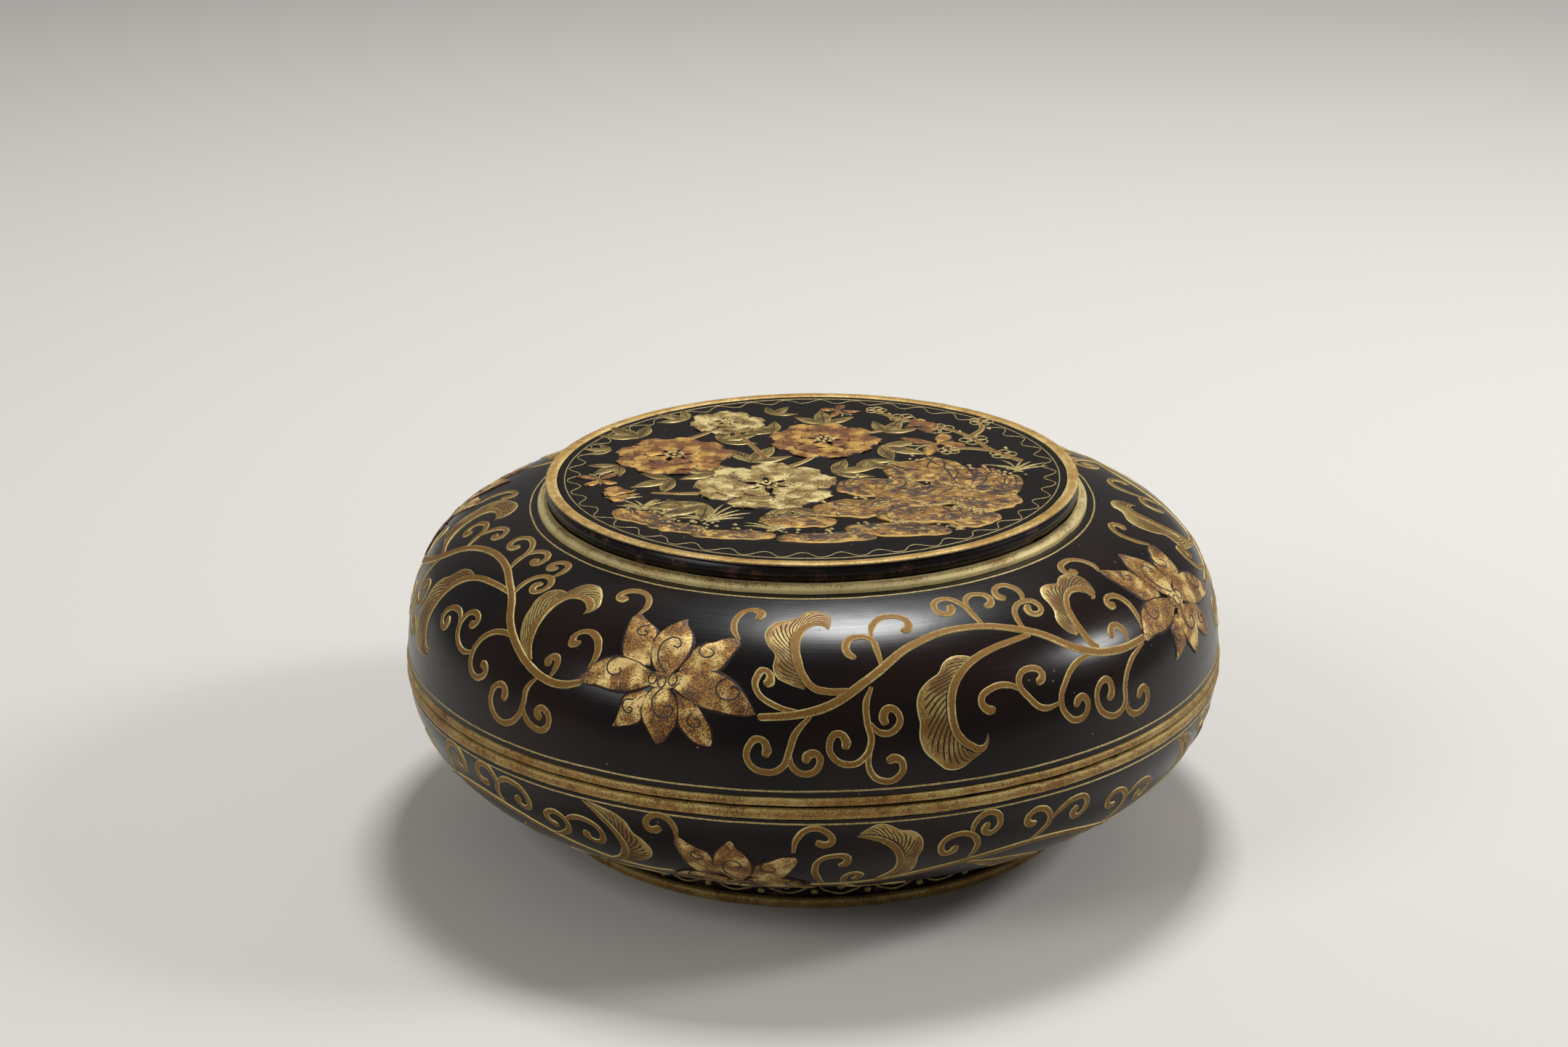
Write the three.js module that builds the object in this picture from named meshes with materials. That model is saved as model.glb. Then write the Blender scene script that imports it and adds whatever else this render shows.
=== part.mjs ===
// A round lacquered storage box with a lift-off lid, built the way a joiner builds its core:
// turned shells, boards and bent hoops that are glued together before the lacquer goes on.
// Millimetres, +Z up, origin at the centre of the circle that the foot stands on.
import * as THREE from "three";

// Driving dimensions
const bodyRadius = 120; // widest outer radius, at the mouth
const mouthHeight = 49.4; // plane of the body's mouth edge
const wall = 5; // thickness of the bowl wall and of the lid's shoulder
const joint = 0.3; // glue line between seated pieces
const slidingFit = 0.45; // radial play between the lid and the lip it slides over
const roundSteps = 60; // facets round the axis, the same for every turned piece

// Foot
const footHeight = 9.5;
const footRadius = 77.4; // outer face of the foot ring
const footWall = 6;
const footChamfer = 0.8; // on the inner edge that the hand feels
const footHoopHeight = 2.6;
const footHoopProud = 1.9;

// Base board and bowl
const boardThickness = 5;
const baseRadius = 76; // the base board's edge
const bowlFootRadius = 80.5; // where the bowl's outside leaves the foot
const bowlBelly = 22.4; // how far the bowl's curve runs straight down from the mouth
const bowlSweep = 21.5; // how far it runs out flat from the foot
const bowlSweepRise = 4.7;

// Mouth hoops and the lip that locates the lid
const hoopRebate = 1.6; // depth of the step that each mouth hoop sits in
const hoopProud = 0.5; // how far a mouth hoop stands out past the shell
const bodyHoopHeight = 3.6;
const lidHoopHeight = 3;
const lipThickness = 3;
const lipRise = 7.5; // how far the lip stands above the body's mouth
const lipDepth = 12; // how far it is glued down inside the bowl
const lipChamfer = 1; // leads the lid on
const lipHeadroom = 1.5; // room above the lip, under the shoulder

// Lid
const lidGap = 0.3; // between the closed lid's edge and the body's mouth
const shoulderTop = 94.8; // height of the shoulder where the collar rises
const shoulderRise = 29; // how far the shoulder's curve runs straight up from the mouth
const shoulderSweep = 29.2; // how far it runs out from the neck hoop
const shoulderSweepDrop = 5.7;
const shoulderInnerRadius = 80.9; // where the shoulder's curve ends at the neck hoop
const collarRadius = 77.4;
const collarWall = 6;
const collarDepth = 4; // how far the collar is let into the shoulder
const collarHeight = 10.5;
const collarBulge = 0.6; // how far the collar's outside swells between its hoops
const ledge = 2.6; // thickness of the ledges that the collar and the top board sit on
const neckHoopWidth = 2.8;
const neckHoopHeight = 2.1;
const rimHoopWidth = 3.4;
const rimHoopHeight = 1.1;
const rimHoopProud = 0.6;
const rimRounding = 0.5; // radius worn on to the rim hoop's outer edge
const rimFall = 0.3; // how far the rim's crest falls to its inner edge
const rimFallWidth = 1.4; // and over what width
const boardRecess = 0.35; // how far the painted board lies below the rim's crest

const curveSteps = 11; // chords along each shell's outline
const beadSteps = 5; // chords round a hoop's outside
const cornerSteps = 3; // chords round a worn corner

const blackLacquer = new THREE.MeshStandardMaterial({ color: 0x120d0c, roughness: 0.22, metalness: 0 });
const innerLacquer = new THREE.MeshStandardMaterial({ color: 0x140c0a, roughness: 0.4, metalness: 0 });
const goldLacquer = new THREE.MeshStandardMaterial({ color: 0xa9793a, roughness: 0.38, metalness: 0.75 });

// Turned pieces

function lathe(name, points, material) {
  const geometry = new THREE.LatheGeometry(points.map(([r, z]) => new THREE.Vector2(r, z)), roundSteps);
  geometry.rotateX(Math.PI / 2);
  const mesh = new THREE.Mesh(geometry, material);
  mesh.name = name;
  return mesh;
}

// A ring: a closed profile of [radius, height] points, turned about +Z.
function turned(name, profile, material) {
  const area = profile.reduce((sum, [r, z], i) => {
    const [nextR, nextZ] = profile[(i + 1) % profile.length];
    return sum + r * nextZ - nextR * z;
  }, 0);
  const ordered = area > 0 ? profile : [...profile].reverse();
  return lathe(name, [...ordered, ordered[0]], material);
}

// A disc, whose profile starts and ends on the axis.
function disc(name, radius, bottom, top, material) {
  return lathe(name, [[0, bottom], [radius, bottom], [radius, top], [0, top]], material);
}

// The outline of a bent hoop: flat against its seat, with a rounded outside.
function hoopProfile(innerRadius, bottom, width, height) {
  const flat = 0.45; // share of the width before the outside starts to round
  const fullness = 0.6; // under 1 makes the outside squarer than a half circle
  const profile = [[innerRadius, bottom]];
  for (let i = 0; i <= beadSteps; i++) {
    const turn = -Math.PI / 2 + (Math.PI * i) / beadSteps;
    const bulge = Math.cos(turn) ** fullness;
    const radius = innerRadius + width * (flat + (1 - flat) * bulge);
    profile.push([radius, bottom + (height * (1 + Math.sin(turn))) / 2]);
  }
  profile.push([innerRadius, bottom + height]);
  return profile;
}

// The outline of a moulding that stands on a surface: widest at its foot and rounded above.
function mouldingProfile(innerRadius, bottom, width, height) {
  const plinth = 0.25; // share of the height before the outside starts to round
  const crest = 0.25; // share of the width that stays flat on top
  const profile = [[innerRadius, bottom], [innerRadius + width, bottom]];
  for (let i = 0; i <= beadSteps; i++) {
    const turn = (Math.PI / 2) * (i / beadSteps);
    const radius = innerRadius + width * (crest + (1 - crest) * Math.cos(turn));
    profile.push([radius, bottom + height * (plinth + (1 - plinth) * Math.sin(turn))]);
  }
  profile.push([innerRadius, bottom + height]);
  return profile;
}

// A quarter circle worn on to an upper outer corner, from the side round to the top.
function wornCorner(radius, top, rounding) {
  const points = [];
  for (let i = 0; i <= cornerSteps; i++) {
    const turn = (Math.PI / 2) * (i / cornerSteps);
    points.push([radius - rounding * (1 - Math.cos(turn)), top - rounding * (1 - Math.sin(turn))]);
  }
  return points;
}

// An upright face that swells by a given amount at its middle.
function swollenFace(radius, bottom, top, swell) {
  const points = [];
  for (let i = 0; i <= beadSteps; i++) {
    const t = i / beadSteps;
    points.push([radius + swell * Math.sin(Math.PI * t), bottom + (top - bottom) * t]);
  }
  return points;
}

function bezier(points) {
  return new THREE.CubicBezierCurve(...points.map(([r, z]) => new THREE.Vector2(r, z)));
}

// Points of a curve moved sideways by a distance, to the left of its direction.
function alongside(curve, distance) {
  const points = [];
  for (let i = 0; i <= curveSteps; i++) {
    const t = i / curveSteps;
    const p = curve.getPoint(t);
    const direction = curve.getTangent(t);
    points.push([p.x - direction.y * distance, p.y + direction.x * distance]);
  }
  return points;
}

// The bowl: a foot, a base board, a curved wall, a hooped mouth and the lip for the lid

const seatRadius = bodyRadius - hoopRebate; // the shell inside the mouth hoops
const lipRadius = bodyRadius - wall - hoopRebate;
const bowlBottom = footHeight + joint;
const edgeLand = 1; // shortest straight stretch of a shell beside a rebate or a seat

const bowlCurve = bezier([
  [bodyRadius, mouthHeight],
  [bodyRadius, mouthHeight - bowlBelly],
  [bowlFootRadius + bowlSweep, bowlBottom + bowlSweepRise],
  [bowlFootRadius, bowlBottom],
]);

function bowlWall() {
  const hoopBottom = mouthHeight - bodyHoopHeight;
  const boardSeat = baseRadius + joint;
  const boardTop = bowlBottom + boardThickness;
  const lipSeat = lipRadius + joint;
  const lipBottom = mouthHeight - lipDepth - joint;
  const outside = alongside(bowlCurve, 0).filter(([, z]) => z < hoopBottom - edgeLand);
  const inside = alongside(bowlCurve, -wall)
    .filter(([r, z]) => z < lipBottom - edgeLand && z > boardTop && r > boardSeat);
  return turned("bowl_wall", [
    [seatRadius, mouthHeight],
    [seatRadius, hoopBottom],
    [outside[0][0], hoopBottom],
    ...outside,
    [boardSeat, bowlBottom],
    [boardSeat, boardTop],
    ...inside.reverse(),
    [lipRadius - lipThickness, lipBottom],
    [lipSeat, lipBottom],
    [lipSeat, mouthHeight],
  ], blackLacquer);
}

const footRing = turned("foot_ring", [
  [footRadius - footWall + footChamfer, 0],
  [footRadius, 0],
  [footRadius, footHeight],
  [footRadius - footWall, footHeight],
  [footRadius - footWall, footChamfer],
], blackLacquer);

const footHoop = turned("foot_hoop",
  hoopProfile(footRadius + joint, joint, footHoopProud, footHoopHeight), goldLacquer);

const baseBoard = disc("base_board", baseRadius, bowlBottom, bowlBottom + boardThickness, innerLacquer);

const bodyMouthHoop = turned("body_mouth_hoop",
  hoopProfile(seatRadius + joint, mouthHeight - bodyHoopHeight + joint,
    hoopRebate + hoopProud - joint, bodyHoopHeight - 2 * joint), goldLacquer);

const lidLip = turned("lid_locating_lip", [
  [lipRadius - lipThickness, mouthHeight - lipDepth],
  [lipRadius, mouthHeight - lipDepth],
  [lipRadius, mouthHeight + lipRise - lipChamfer],
  [lipRadius - lipChamfer, mouthHeight + lipRise],
  [lipRadius - lipThickness, mouthHeight + lipRise],
], innerLacquer);

// The lid: a domed shoulder, a collar, the painted board and three hoops

const lidBottom = mouthHeight + lidGap;
const collarBottom = shoulderTop - collarDepth;
const collarTop = collarBottom + collarHeight;
const neckHoopBottom = shoulderTop + joint;
const rimBottom = collarTop + joint;
const rimCrest = rimBottom + rimHoopHeight;
const rimOuterRadius = collarRadius + rimHoopProud;
const rimInnerRadius = rimOuterRadius - rimHoopWidth;
const topBoardRadius = rimInnerRadius - joint;
const boardLedge = collarBottom + ledge; // the collar's ledge under the painted board

const shoulderCurve = bezier([
  [bodyRadius, lidBottom],
  [bodyRadius, lidBottom + shoulderRise],
  [shoulderInnerRadius + shoulderSweep, shoulderTop - shoulderSweepDrop],
  [shoulderInnerRadius, shoulderTop],
]);

function lidShoulder() {
  const hoopTop = lidBottom + lidHoopHeight;
  const lipClearance = lipRadius + slidingFit;
  const lipRoom = mouthHeight + lipRise + lipHeadroom;
  const collarSeat = collarRadius + joint;
  const ledgeTop = collarBottom - joint;
  const ledgeRadius = collarRadius - collarWall;
  const outside = alongside(shoulderCurve, 0).filter(([, z]) => z > hoopTop + edgeLand);
  const inside = alongside(shoulderCurve, wall)
    .filter(([r, z]) => z > lipRoom && z < ledgeTop - ledge && r > ledgeRadius + edgeLand);
  return turned("lid_shoulder", [
    [seatRadius, lidBottom],
    [seatRadius, hoopTop],
    [outside[0][0], hoopTop],
    ...outside,
    [collarSeat, shoulderTop],
    [collarSeat, ledgeTop],
    [ledgeRadius, ledgeTop],
    [ledgeRadius, ledgeTop - ledge],
    ...inside.reverse(),
    [lipClearance, lipRoom],
    [lipClearance, lidBottom],
  ], blackLacquer);
}

const lidMouthHoop = turned("lid_mouth_hoop",
  hoopProfile(seatRadius + joint, lidBottom + joint,
    hoopRebate + hoopProud - joint, lidHoopHeight - 2 * joint), goldLacquer);

const collarRing = turned("collar_ring", [
  [collarRadius - collarWall, collarBottom],
  [collarRadius, collarBottom],
  ...swollenFace(collarRadius, neckHoopBottom + neckHoopHeight + joint, collarTop, collarBulge),
  [topBoardRadius + joint, collarTop],
  [topBoardRadius + joint, boardLedge],
  [collarRadius - collarWall, boardLedge],
], blackLacquer);

const neckHoop = turned("neck_hoop",
  mouldingProfile(collarRadius + joint, neckHoopBottom, neckHoopWidth, neckHoopHeight), goldLacquer);

const topBoard = disc("painted_top_board", topBoardRadius, boardLedge + joint,
  rimCrest - boardRecess, blackLacquer);

const rimHoop = turned("top_rim_hoop", [
  [rimInnerRadius, rimBottom],
  [rimOuterRadius, rimBottom],
  ...wornCorner(rimOuterRadius, rimCrest, rimRounding),
  [rimInnerRadius + rimFallWidth, rimCrest],
  [rimInnerRadius, rimCrest - rimFall],
], goldLacquer);

const box = new THREE.Group();
const bowl = new THREE.Group();
const lid = new THREE.Group();
bowl.add(footRing, footHoop, baseBoard, bowlWall(), bodyMouthHoop, lidLip);
lid.add(lidShoulder(), lidMouthHoop, collarRing, neckHoop, topBoard, rimHoop);
box.add(bowl, lid);

export default box;
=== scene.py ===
# %% [markdown]
# # A gilded lacquer box, from frame to finish
#
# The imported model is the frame: its pieces are at their real places and sizes. This script
# dresses it. The turned shells are spun again with finer curves, the gold scroll is drawn
# with brush strokes and laid on the shells, and every surface gets its own finish.

# %% Load the frame
import math
import random

import bpy
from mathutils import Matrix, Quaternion, Vector, noise
from mathutils.geometry import interpolate_bezier


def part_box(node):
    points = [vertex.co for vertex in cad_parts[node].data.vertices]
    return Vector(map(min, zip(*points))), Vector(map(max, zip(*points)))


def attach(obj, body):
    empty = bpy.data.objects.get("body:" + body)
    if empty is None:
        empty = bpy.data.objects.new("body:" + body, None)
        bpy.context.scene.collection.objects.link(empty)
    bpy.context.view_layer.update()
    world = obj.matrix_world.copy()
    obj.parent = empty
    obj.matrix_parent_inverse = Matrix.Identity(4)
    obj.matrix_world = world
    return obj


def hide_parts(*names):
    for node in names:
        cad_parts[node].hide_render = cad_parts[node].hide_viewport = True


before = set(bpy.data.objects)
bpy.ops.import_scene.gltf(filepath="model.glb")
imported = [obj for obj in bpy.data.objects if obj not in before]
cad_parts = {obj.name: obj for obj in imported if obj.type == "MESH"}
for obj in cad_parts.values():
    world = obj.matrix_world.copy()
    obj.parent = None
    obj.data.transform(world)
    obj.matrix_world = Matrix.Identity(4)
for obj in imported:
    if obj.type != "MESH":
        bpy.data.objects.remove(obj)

bpy.ops.object.select_all(action="DESELECT")
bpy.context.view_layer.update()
mm = 0.001
noise.seed_set(7)  # unset, Blender takes the clock's time, and each run gives other dents
print("frame pieces:", sorted(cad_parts))

# %% [markdown]
# ## The camera
#
# The photograph was taken from a little above the box with a moderate long lens. The camera
# stands that far back, aims at a point just above the box's middle, and leans very slightly.

# %% Place the camera
camera_spot = Vector((0, -908.5, 410.2)) * mm
camera_aim = Vector((-8.3, 0, 86.7)) * mm
camera_lens = 75.1
camera_lean = math.radians(0.5)

bpy.ops.object.camera_add(location=camera_spot)
camera = bpy.context.object
camera.name = "camera"
camera.data.lens = camera_lens
camera.data.sensor_width = 36
look = (camera_aim - camera_spot).to_track_quat("-Z", "Y")
camera.rotation_euler = (look @ Quaternion((0, 0, 1), -camera_lean)).to_euler()
bpy.context.scene.camera = camera
print("camera", round((camera_spot - camera_aim).length, 3), "m from the box")

# %% [markdown]
# ## Floor and light
#
# Black lacquer shows its shape by what it mirrors. One large soft light stands above and
# behind the box, one to the right, and a weak one fills the left. The world is pale and dim.

# %% Floor, lamps and world
def colour(code):
    """A colour written as six hexadecimal digits, as the linear numbers that Blender mixes."""
    parts = [int(code[i:i + 2], 16) / 255 for i in (0, 2, 4)]
    linear = [p / 12.92 if p <= 0.04045 else ((p + 0.055) / 1.055) ** 2.4 for p in parts]
    return (*linear, 1)


bpy.ops.mesh.primitive_plane_add(size=12)
floor = bpy.context.object
floor.name = "floor"
floor_paint = bpy.data.materials.new("floor_paint")
floor_paint.use_nodes = True
floor_sockets = floor_paint.node_tree.nodes["Principled BSDF"].inputs
floor_sockets["Base Color"].default_value = colour("c9c6c1")
floor_sockets["Roughness"].default_value = 0.75
floor.data.materials.append(floor_paint)


def soft_light(name, spot, size, watts):
    """A square lamp that faces the box."""
    spot = Vector(spot)
    bpy.ops.object.light_add(type="AREA", location=spot)
    lamp = bpy.context.object
    lamp.name = name
    lamp.data.size = size
    lamp.data.energy = watts
    lamp.rotation_euler = (camera_aim - spot).to_track_quat("-Z", "Y").to_euler()


soft_light("light_above", (0.12, 0.66, 1.48), 0.36, 19)
soft_light("light_right", (1.3, 0.1, 0.85), 0.32, 12)
soft_light("light_left", (-1.2, -0.9, 1.1), 0.8, 11)

world = bpy.data.worlds.new("studio")
bpy.context.scene.world = world
world.use_nodes = True
sky = world.node_tree.nodes["Background"].inputs
sky["Color"].default_value = colour("f2f1ee")
sky["Strength"].default_value = 0.24
bpy.context.scene.view_settings.view_transform = "Standard"

# %% [markdown]
# ## Finishes as sums
#
# A finish is a small calculation over the surface. A wrapped socket can be added and
# multiplied like a number, so that a finish reads as a formula, and one method makes any
# other node. Colours are written as six hexadecimal digits.

# %% A socket that does sums, and a finish that makes nodes
class Amount:
    """One number of a finish, different at each point of the surface."""

    def __init__(self, finish, socket):
        self.finish = finish
        self.socket = socket

    def _sum(self, operation, first, second=0):
        return self.finish.make("ShaderNodeMath", {"operation": operation}, {0: first, 1: second})

    def __add__(self, other):
        return self._sum("ADD", self, other)

    def __sub__(self, other):
        return self._sum("SUBTRACT", self, other)

    def __rsub__(self, other):
        return self._sum("SUBTRACT", other, self)

    def __mul__(self, other):
        return self._sum("MULTIPLY", self, other)

    def __truediv__(self, other):
        return self._sum("DIVIDE", self, other)

    __radd__ = __add__
    __rmul__ = __mul__

    def size(self):
        """The amount without its sign."""
        return self._sum("ABSOLUTE", self)

    def beat(self):
        """0 halfway between two whole numbers, half on each of them: a row of even lines."""
        return (self._sum("FRACT", self) - 0.5).size()

    def between(self, low, high):
        """0 up to low, 1 from high on, with a soft passage."""
        values = {"Value": self, "From Min": low, "From Max": high}
        return self.finish.make("ShaderNodeMapRange", {"interpolation_type": "SMOOTHSTEP"}, values)


class Finish:
    """A material under construction."""

    def __init__(self, name, specular=0.5, metallic=0):
        self.material = bpy.data.materials.new(name)
        self.material.use_nodes = True
        self.tree = self.material.node_tree
        self.set("Specular IOR Level", specular)
        self.set("Metallic", metallic)
        self.place = self.make("ShaderNodeTexCoord", {}, {}, "Object")

    def put(self, socket, value):
        if isinstance(value, Amount):
            self.tree.links.new(value.socket, socket)
        else:
            socket.default_value = colour(value) if isinstance(value, str) else value

    def set(self, name, value):
        self.put(self.tree.nodes["Principled BSDF"].inputs[name], value)

    def make(self, kind, settings, values, output=0):
        node = self.tree.nodes.new(kind)
        for name, value in settings.items():
            setattr(node, name, value)
        for name, value in values.items():
            self.put(node.inputs[name], value)
        return Amount(self, node.outputs[output])

    def mix(self, amount, first, second):
        """The first colour where amount is 0, the second where it is 1."""
        values = {0: amount, 6: first, 7: second}
        return self.make("ShaderNodeMix", {"data_type": "RGBA"}, values, 2)

    def noise(self, size, detail=3, vector=None, roughness=0.55):
        """Cloudy noise whose clouds are about size metres across."""
        values = {"Vector": vector or self.place, "Scale": 1 / size, "Detail": detail,
                  "Roughness": roughness}
        return self.make("ShaderNodeTexNoise", {}, values)

    def split(self, vector):
        return [self.make("ShaderNodeSeparateXYZ", {}, {0: vector}, i) for i in range(3)]

    def drawn(self):
        """How far along its shape a point is, and how far across it, both from 0 to 1."""
        return self.split(self.make("ShaderNodeTexCoord", {}, {}, "UV"))[:2]

    def reach(self):
        """How far a point is from the box's axis, and how high it is, in metres."""
        length = {"operation": "LENGTH"}
        reach = self.make("ShaderNodeVectorMath", length, {0: self.stretched(1, 1, 0)}, "Value")
        return reach, self.split(self.place)[2]

    def stretched(self, *times):
        """The place, with each direction stretched by its own number."""
        return self.make("ShaderNodeVectorMath", {"operation": "MULTIPLY"}, {0: self.place, 1: times})

    def made(self, base, roughness, height, depth, metallic=None):
        """The finished material: its colour, its roughness, and a relief of some depth."""
        self.set("Base Color", base)
        self.set("Roughness", roughness)
        relief = {"Height": height, "Distance": depth, "Strength": 1}
        self.set("Normal", self.make("ShaderNodeBump", {}, relief, "Normal"))
        if metallic:
            self.set("Metallic", metallic)
        return self.material

    def round_streaks(self, length, width):
        """Noise drawn out along the turning of the box: length and width of one streak."""
        x, y, _ = self.split(self.place)
        reach, z = self.reach()
        around = 0.1 / length
        values = {0: x / reach * around, 1: y / reach * around, 2: (z - reach) * (1 / width)}
        return self.noise(1, 4, self.make("ShaderNodeCombineXYZ", {}, values))

# %% Lacquers
speck_grey = "8d857b"


def dust(finish):
    """A few pale specks, a third of a millimetre wide, on a polished surface."""
    cells = finish.make("ShaderNodeTexVoronoi", {"feature": "F1"},
                        {"Vector": finish.place, "Scale": 1 / (4.5 * mm)}, "Distance")
    few = finish.noise(25 * mm, 2).between(0.52, 0.56)
    return (1 - cells.between(0.045, 0.075)) * few


def black_lacquer(name, worn):
    """Polished black over brown. Where it is worn, the brown ground shows through."""
    finish = Finish(name, specular=0.22)
    cloud = finish.noise(45 * mm, 3)
    streak = finish.round_streaks(26 * mm, 0.45 * mm)
    base = finish.mix(cloud.between(0.42, 0.68), "0b0706", "1b0d09")
    rubbed = (finish.noise(9 * mm, 6, roughness=0.7) * 0.8 + streak * 0.35).between(0.61, 0.71)
    base = finish.mix(rubbed * worn, base, "4c2f1f")
    specks = dust(finish)
    return finish.made(finish.mix(specks * 0.55, base, speck_grey),
                       0.19 + 0.14 * streak + 0.25 * worn * rubbed + 0.3 * specks,
                       finish.noise(18 * mm, 2) + streak * 0.09, 0.12 * mm)


def board_lacquer():
    """The board's black was ground flat, so it shows no streaks, only dust and fine scratches."""
    finish = Finish("board_lacquer", specular=0.1)
    cloud = finish.noise(30 * mm, 4)
    specks = dust(finish)
    base = finish.mix(cloud.between(0.4, 0.7), "0b0807", "160d0a")
    return finish.made(finish.mix(specks * 0.55, base, speck_grey),
                       0.2 + 0.1 * cloud + 0.3 * specks, finish.noise(14 * mm, 3), 0.1 * mm)


def inner_lacquer():
    finish = Finish("inner_lacquer")
    cloud = finish.noise(30 * mm, 4)
    streak = finish.round_streaks(40 * mm, 0.8 * mm)
    return finish.made(finish.mix(cloud.between(0.35, 0.7), "130c0a", "24120c"),
                       0.34 + 0.14 * streak, cloud + streak * 0.15, 0.15 * mm)


# %% Golds
def hoop_finish(name, flat, middle, half, tones=("70491c", "8f6529", "b8a465"), pale_from=1.9,
                gilt_from=0, worn_at=0.82):
    """Ochre gold with pale edges, above a height in millimetres from which it is gilt.

    A flat hoop's edges are its inner and outer ones.
    """
    finish = Finish(name, specular=0.4)
    reach, height = finish.reach()
    edge = ((reach if flat else height) - middle * mm).size() / (half * mm)
    patch = finish.noise(14 * mm, 5, roughness=0.65)
    grit = finish.noise(0.4 * mm, 3, roughness=0.8)
    streak = finish.round_streaks(7 * mm, 0.35 * mm)
    pale = (edge * 0.3 + patch * 1.1 + streak * 0.2 + grit * 2.4).between(pale_from, pale_from + 0.3)
    brown = (finish.noise(5 * mm, 5) + streak * 0.3).between(worn_at, worn_at + 0.1)
    dark, light, rubbed = tones
    ochre = finish.mix(finish.noise(3 * mm, 4).between(0.4, 0.62), dark, light)
    gold = finish.mix(pale, ochre, rubbed)
    worn = finish.mix(brown, gold, "4a2811")
    speckled = finish.mix(grit.between(0.62, 0.72) * 0.7, worn, "2a180d")
    gilt = ((height - gilt_from * mm) * 1000 + grit * 0.3).between(0.1, 0.2)
    return finish.made(finish.mix(gilt, "22120d", speckled), 0.34 + 0.28 * grit,
                       streak * 0.4 + grit * 0.7 + patch, 0.18 * mm, 0.4 * gilt)


def scroll_finish():
    """Raised brush gold: ochre in the middle of a stroke, pale where its edges catch the rub."""
    finish = Finish("brush_gold", metallic=0.45, specular=0.35)
    across = finish.drawn()[1]
    edge = (across - 0.25).size() * 4
    grain = finish.noise(0.4 * mm, 3, roughness=0.8)
    patch = finish.noise(9 * mm, 3)
    speck = finish.noise(0.3 * mm, 4, roughness=0.75)
    pale = (edge + grain * 1.3 + patch * 0.8).between(1.5, 1.85)
    ochre = finish.mix(speck.between(0.36, 0.62), "5f3f16", "8b6526")
    gold = finish.mix(pale, ochre, "c8b679")
    return finish.made(finish.mix(speck.between(0.64, 0.72) * 0.6, gold, "2c190b"),
                       0.36 + 0.26 * grain, grain + speck, 0.09 * mm)


def petal_finish(name, gold, pale, ground):
    """Gold leaf rubbed through to the lacquer in specks, with a dark line round the petal: a drawn
    outline where petals overlap, and painted shade along its free edges.
    """
    finish = Finish(name, specular=0.35)
    across = finish.drawn()[1]
    edge = (across - 0.5).size() * 2
    speck = finish.noise(0.42 * mm, 5, roughness=0.7)
    patch = finish.noise(6 * mm, 4)
    tip = finish.drawn()[0].between(0.72, 1)
    cover = (speck * 1.4 + patch * 0.55 - tip * 0.1).between(0.86, 1)
    leaf = finish.mix(patch.between(0.45, 0.62), gold, pale)
    base = finish.mix(cover, ground, leaf)
    # The dark line at the petal's edges is a drawn outline where petals overlap, and painted shade along
    # the free edges of the relief.
    return finish.made(finish.mix(edge.between(0.8, 0.88), base, "26100a"), 0.32 + 0.25 * speck,
                       cover + speck, 0.05 * mm, cover * 0.4)


def blade_finish():
    """Pale gold with dark veins that leave the rib and slant towards the tip, and painted shade in a dark
    line along the rib.
    """
    finish = Finish("blade_gold", specular=0.35)
    along, across = finish.drawn()
    grain = finish.noise(0.5 * mm, 4)
    patch = finish.noise(8 * mm, 3)
    slant = along * 20 - across * 4 + patch * 0.5
    length = 0.76 + 0.5 * (finish.noise(3 * mm, 2) - 0.5)
    vein = (1 - slant.beat().between(0.13, 0.2)) * (1 - (across / length).between(0.85, 1.1))
    # Painted shade: a dark line along the blade's rib side, where it meets the raised rib stroke.
    rib = 1 - across.between(0.03, 0.07)
    border = (across - 0.5).size().between(0.43, 0.47)
    light = (patch * 0.8 + grain * 0.5).between(0.58, 0.76)
    gold = finish.mix(light, "785623", "a88f50")
    gold = finish.mix(border, gold, "bfb07c")
    dark = (vein + rib).between(0, 1)
    return finish.made(finish.mix(dark, gold, "160c07"), 0.34 + 0.22 * grain + 0.2 * dark,
                       grain - dark, 0.06 * mm, 0.35 * (1 - dark))


def plain_finish(name, first, second, metallic, roughness):
    """Two near colours in a fine grain."""
    finish = Finish(name, metallic=metallic)
    grain = finish.noise(0.8 * mm, 4)
    return finish.made(finish.mix(grain.between(0.35, 0.65), first, second),
                       roughness + 0.15 * grain, grain, 0.04 * mm)


# %% Make the finishes
lacquer = black_lacquer("black_lacquer", 0)
board_black = board_lacquer()
worn_lacquer = black_lacquer("worn_lacquer", 1)
inside = inner_lacquer()
brush_gold = scroll_finish()
petal_leaf = petal_finish("petal_leaf", "ad7f38", "dfc07a", "4a2616")
blade_gold = blade_finish()
pale_gold = plain_finish("pale_gold", "8a7642", "b9a66c", 0.35, 0.38)
dark_line = plain_finish("dark_line", "170c08", "2a1710", 0, 0.4)

# %% [markdown]
# ## Turned pieces
#
# The box's core is turned. A circle with as many points as the outline is added, each point
# is moved to its place on the outline, and the outline is spun about the upright axis. The
# heights come from the frame, so that each piece stands exactly where its frame piece does.

# %% Turn an outline
def tidy(piece, angle=35, near=0.01 * mm):
    """Joins doubled points, turns all faces outwards and smooths all but sharp edges."""
    bpy.ops.object.mode_set(mode="EDIT")
    bpy.ops.mesh.select_all(action="SELECT")
    bpy.ops.mesh.remove_doubles(threshold=near)
    bpy.ops.mesh.normals_make_consistent(inside=False)
    bpy.ops.object.mode_set(mode="OBJECT")
    bpy.ops.object.shade_smooth_by_angle(angle=math.radians(angle))


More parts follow.
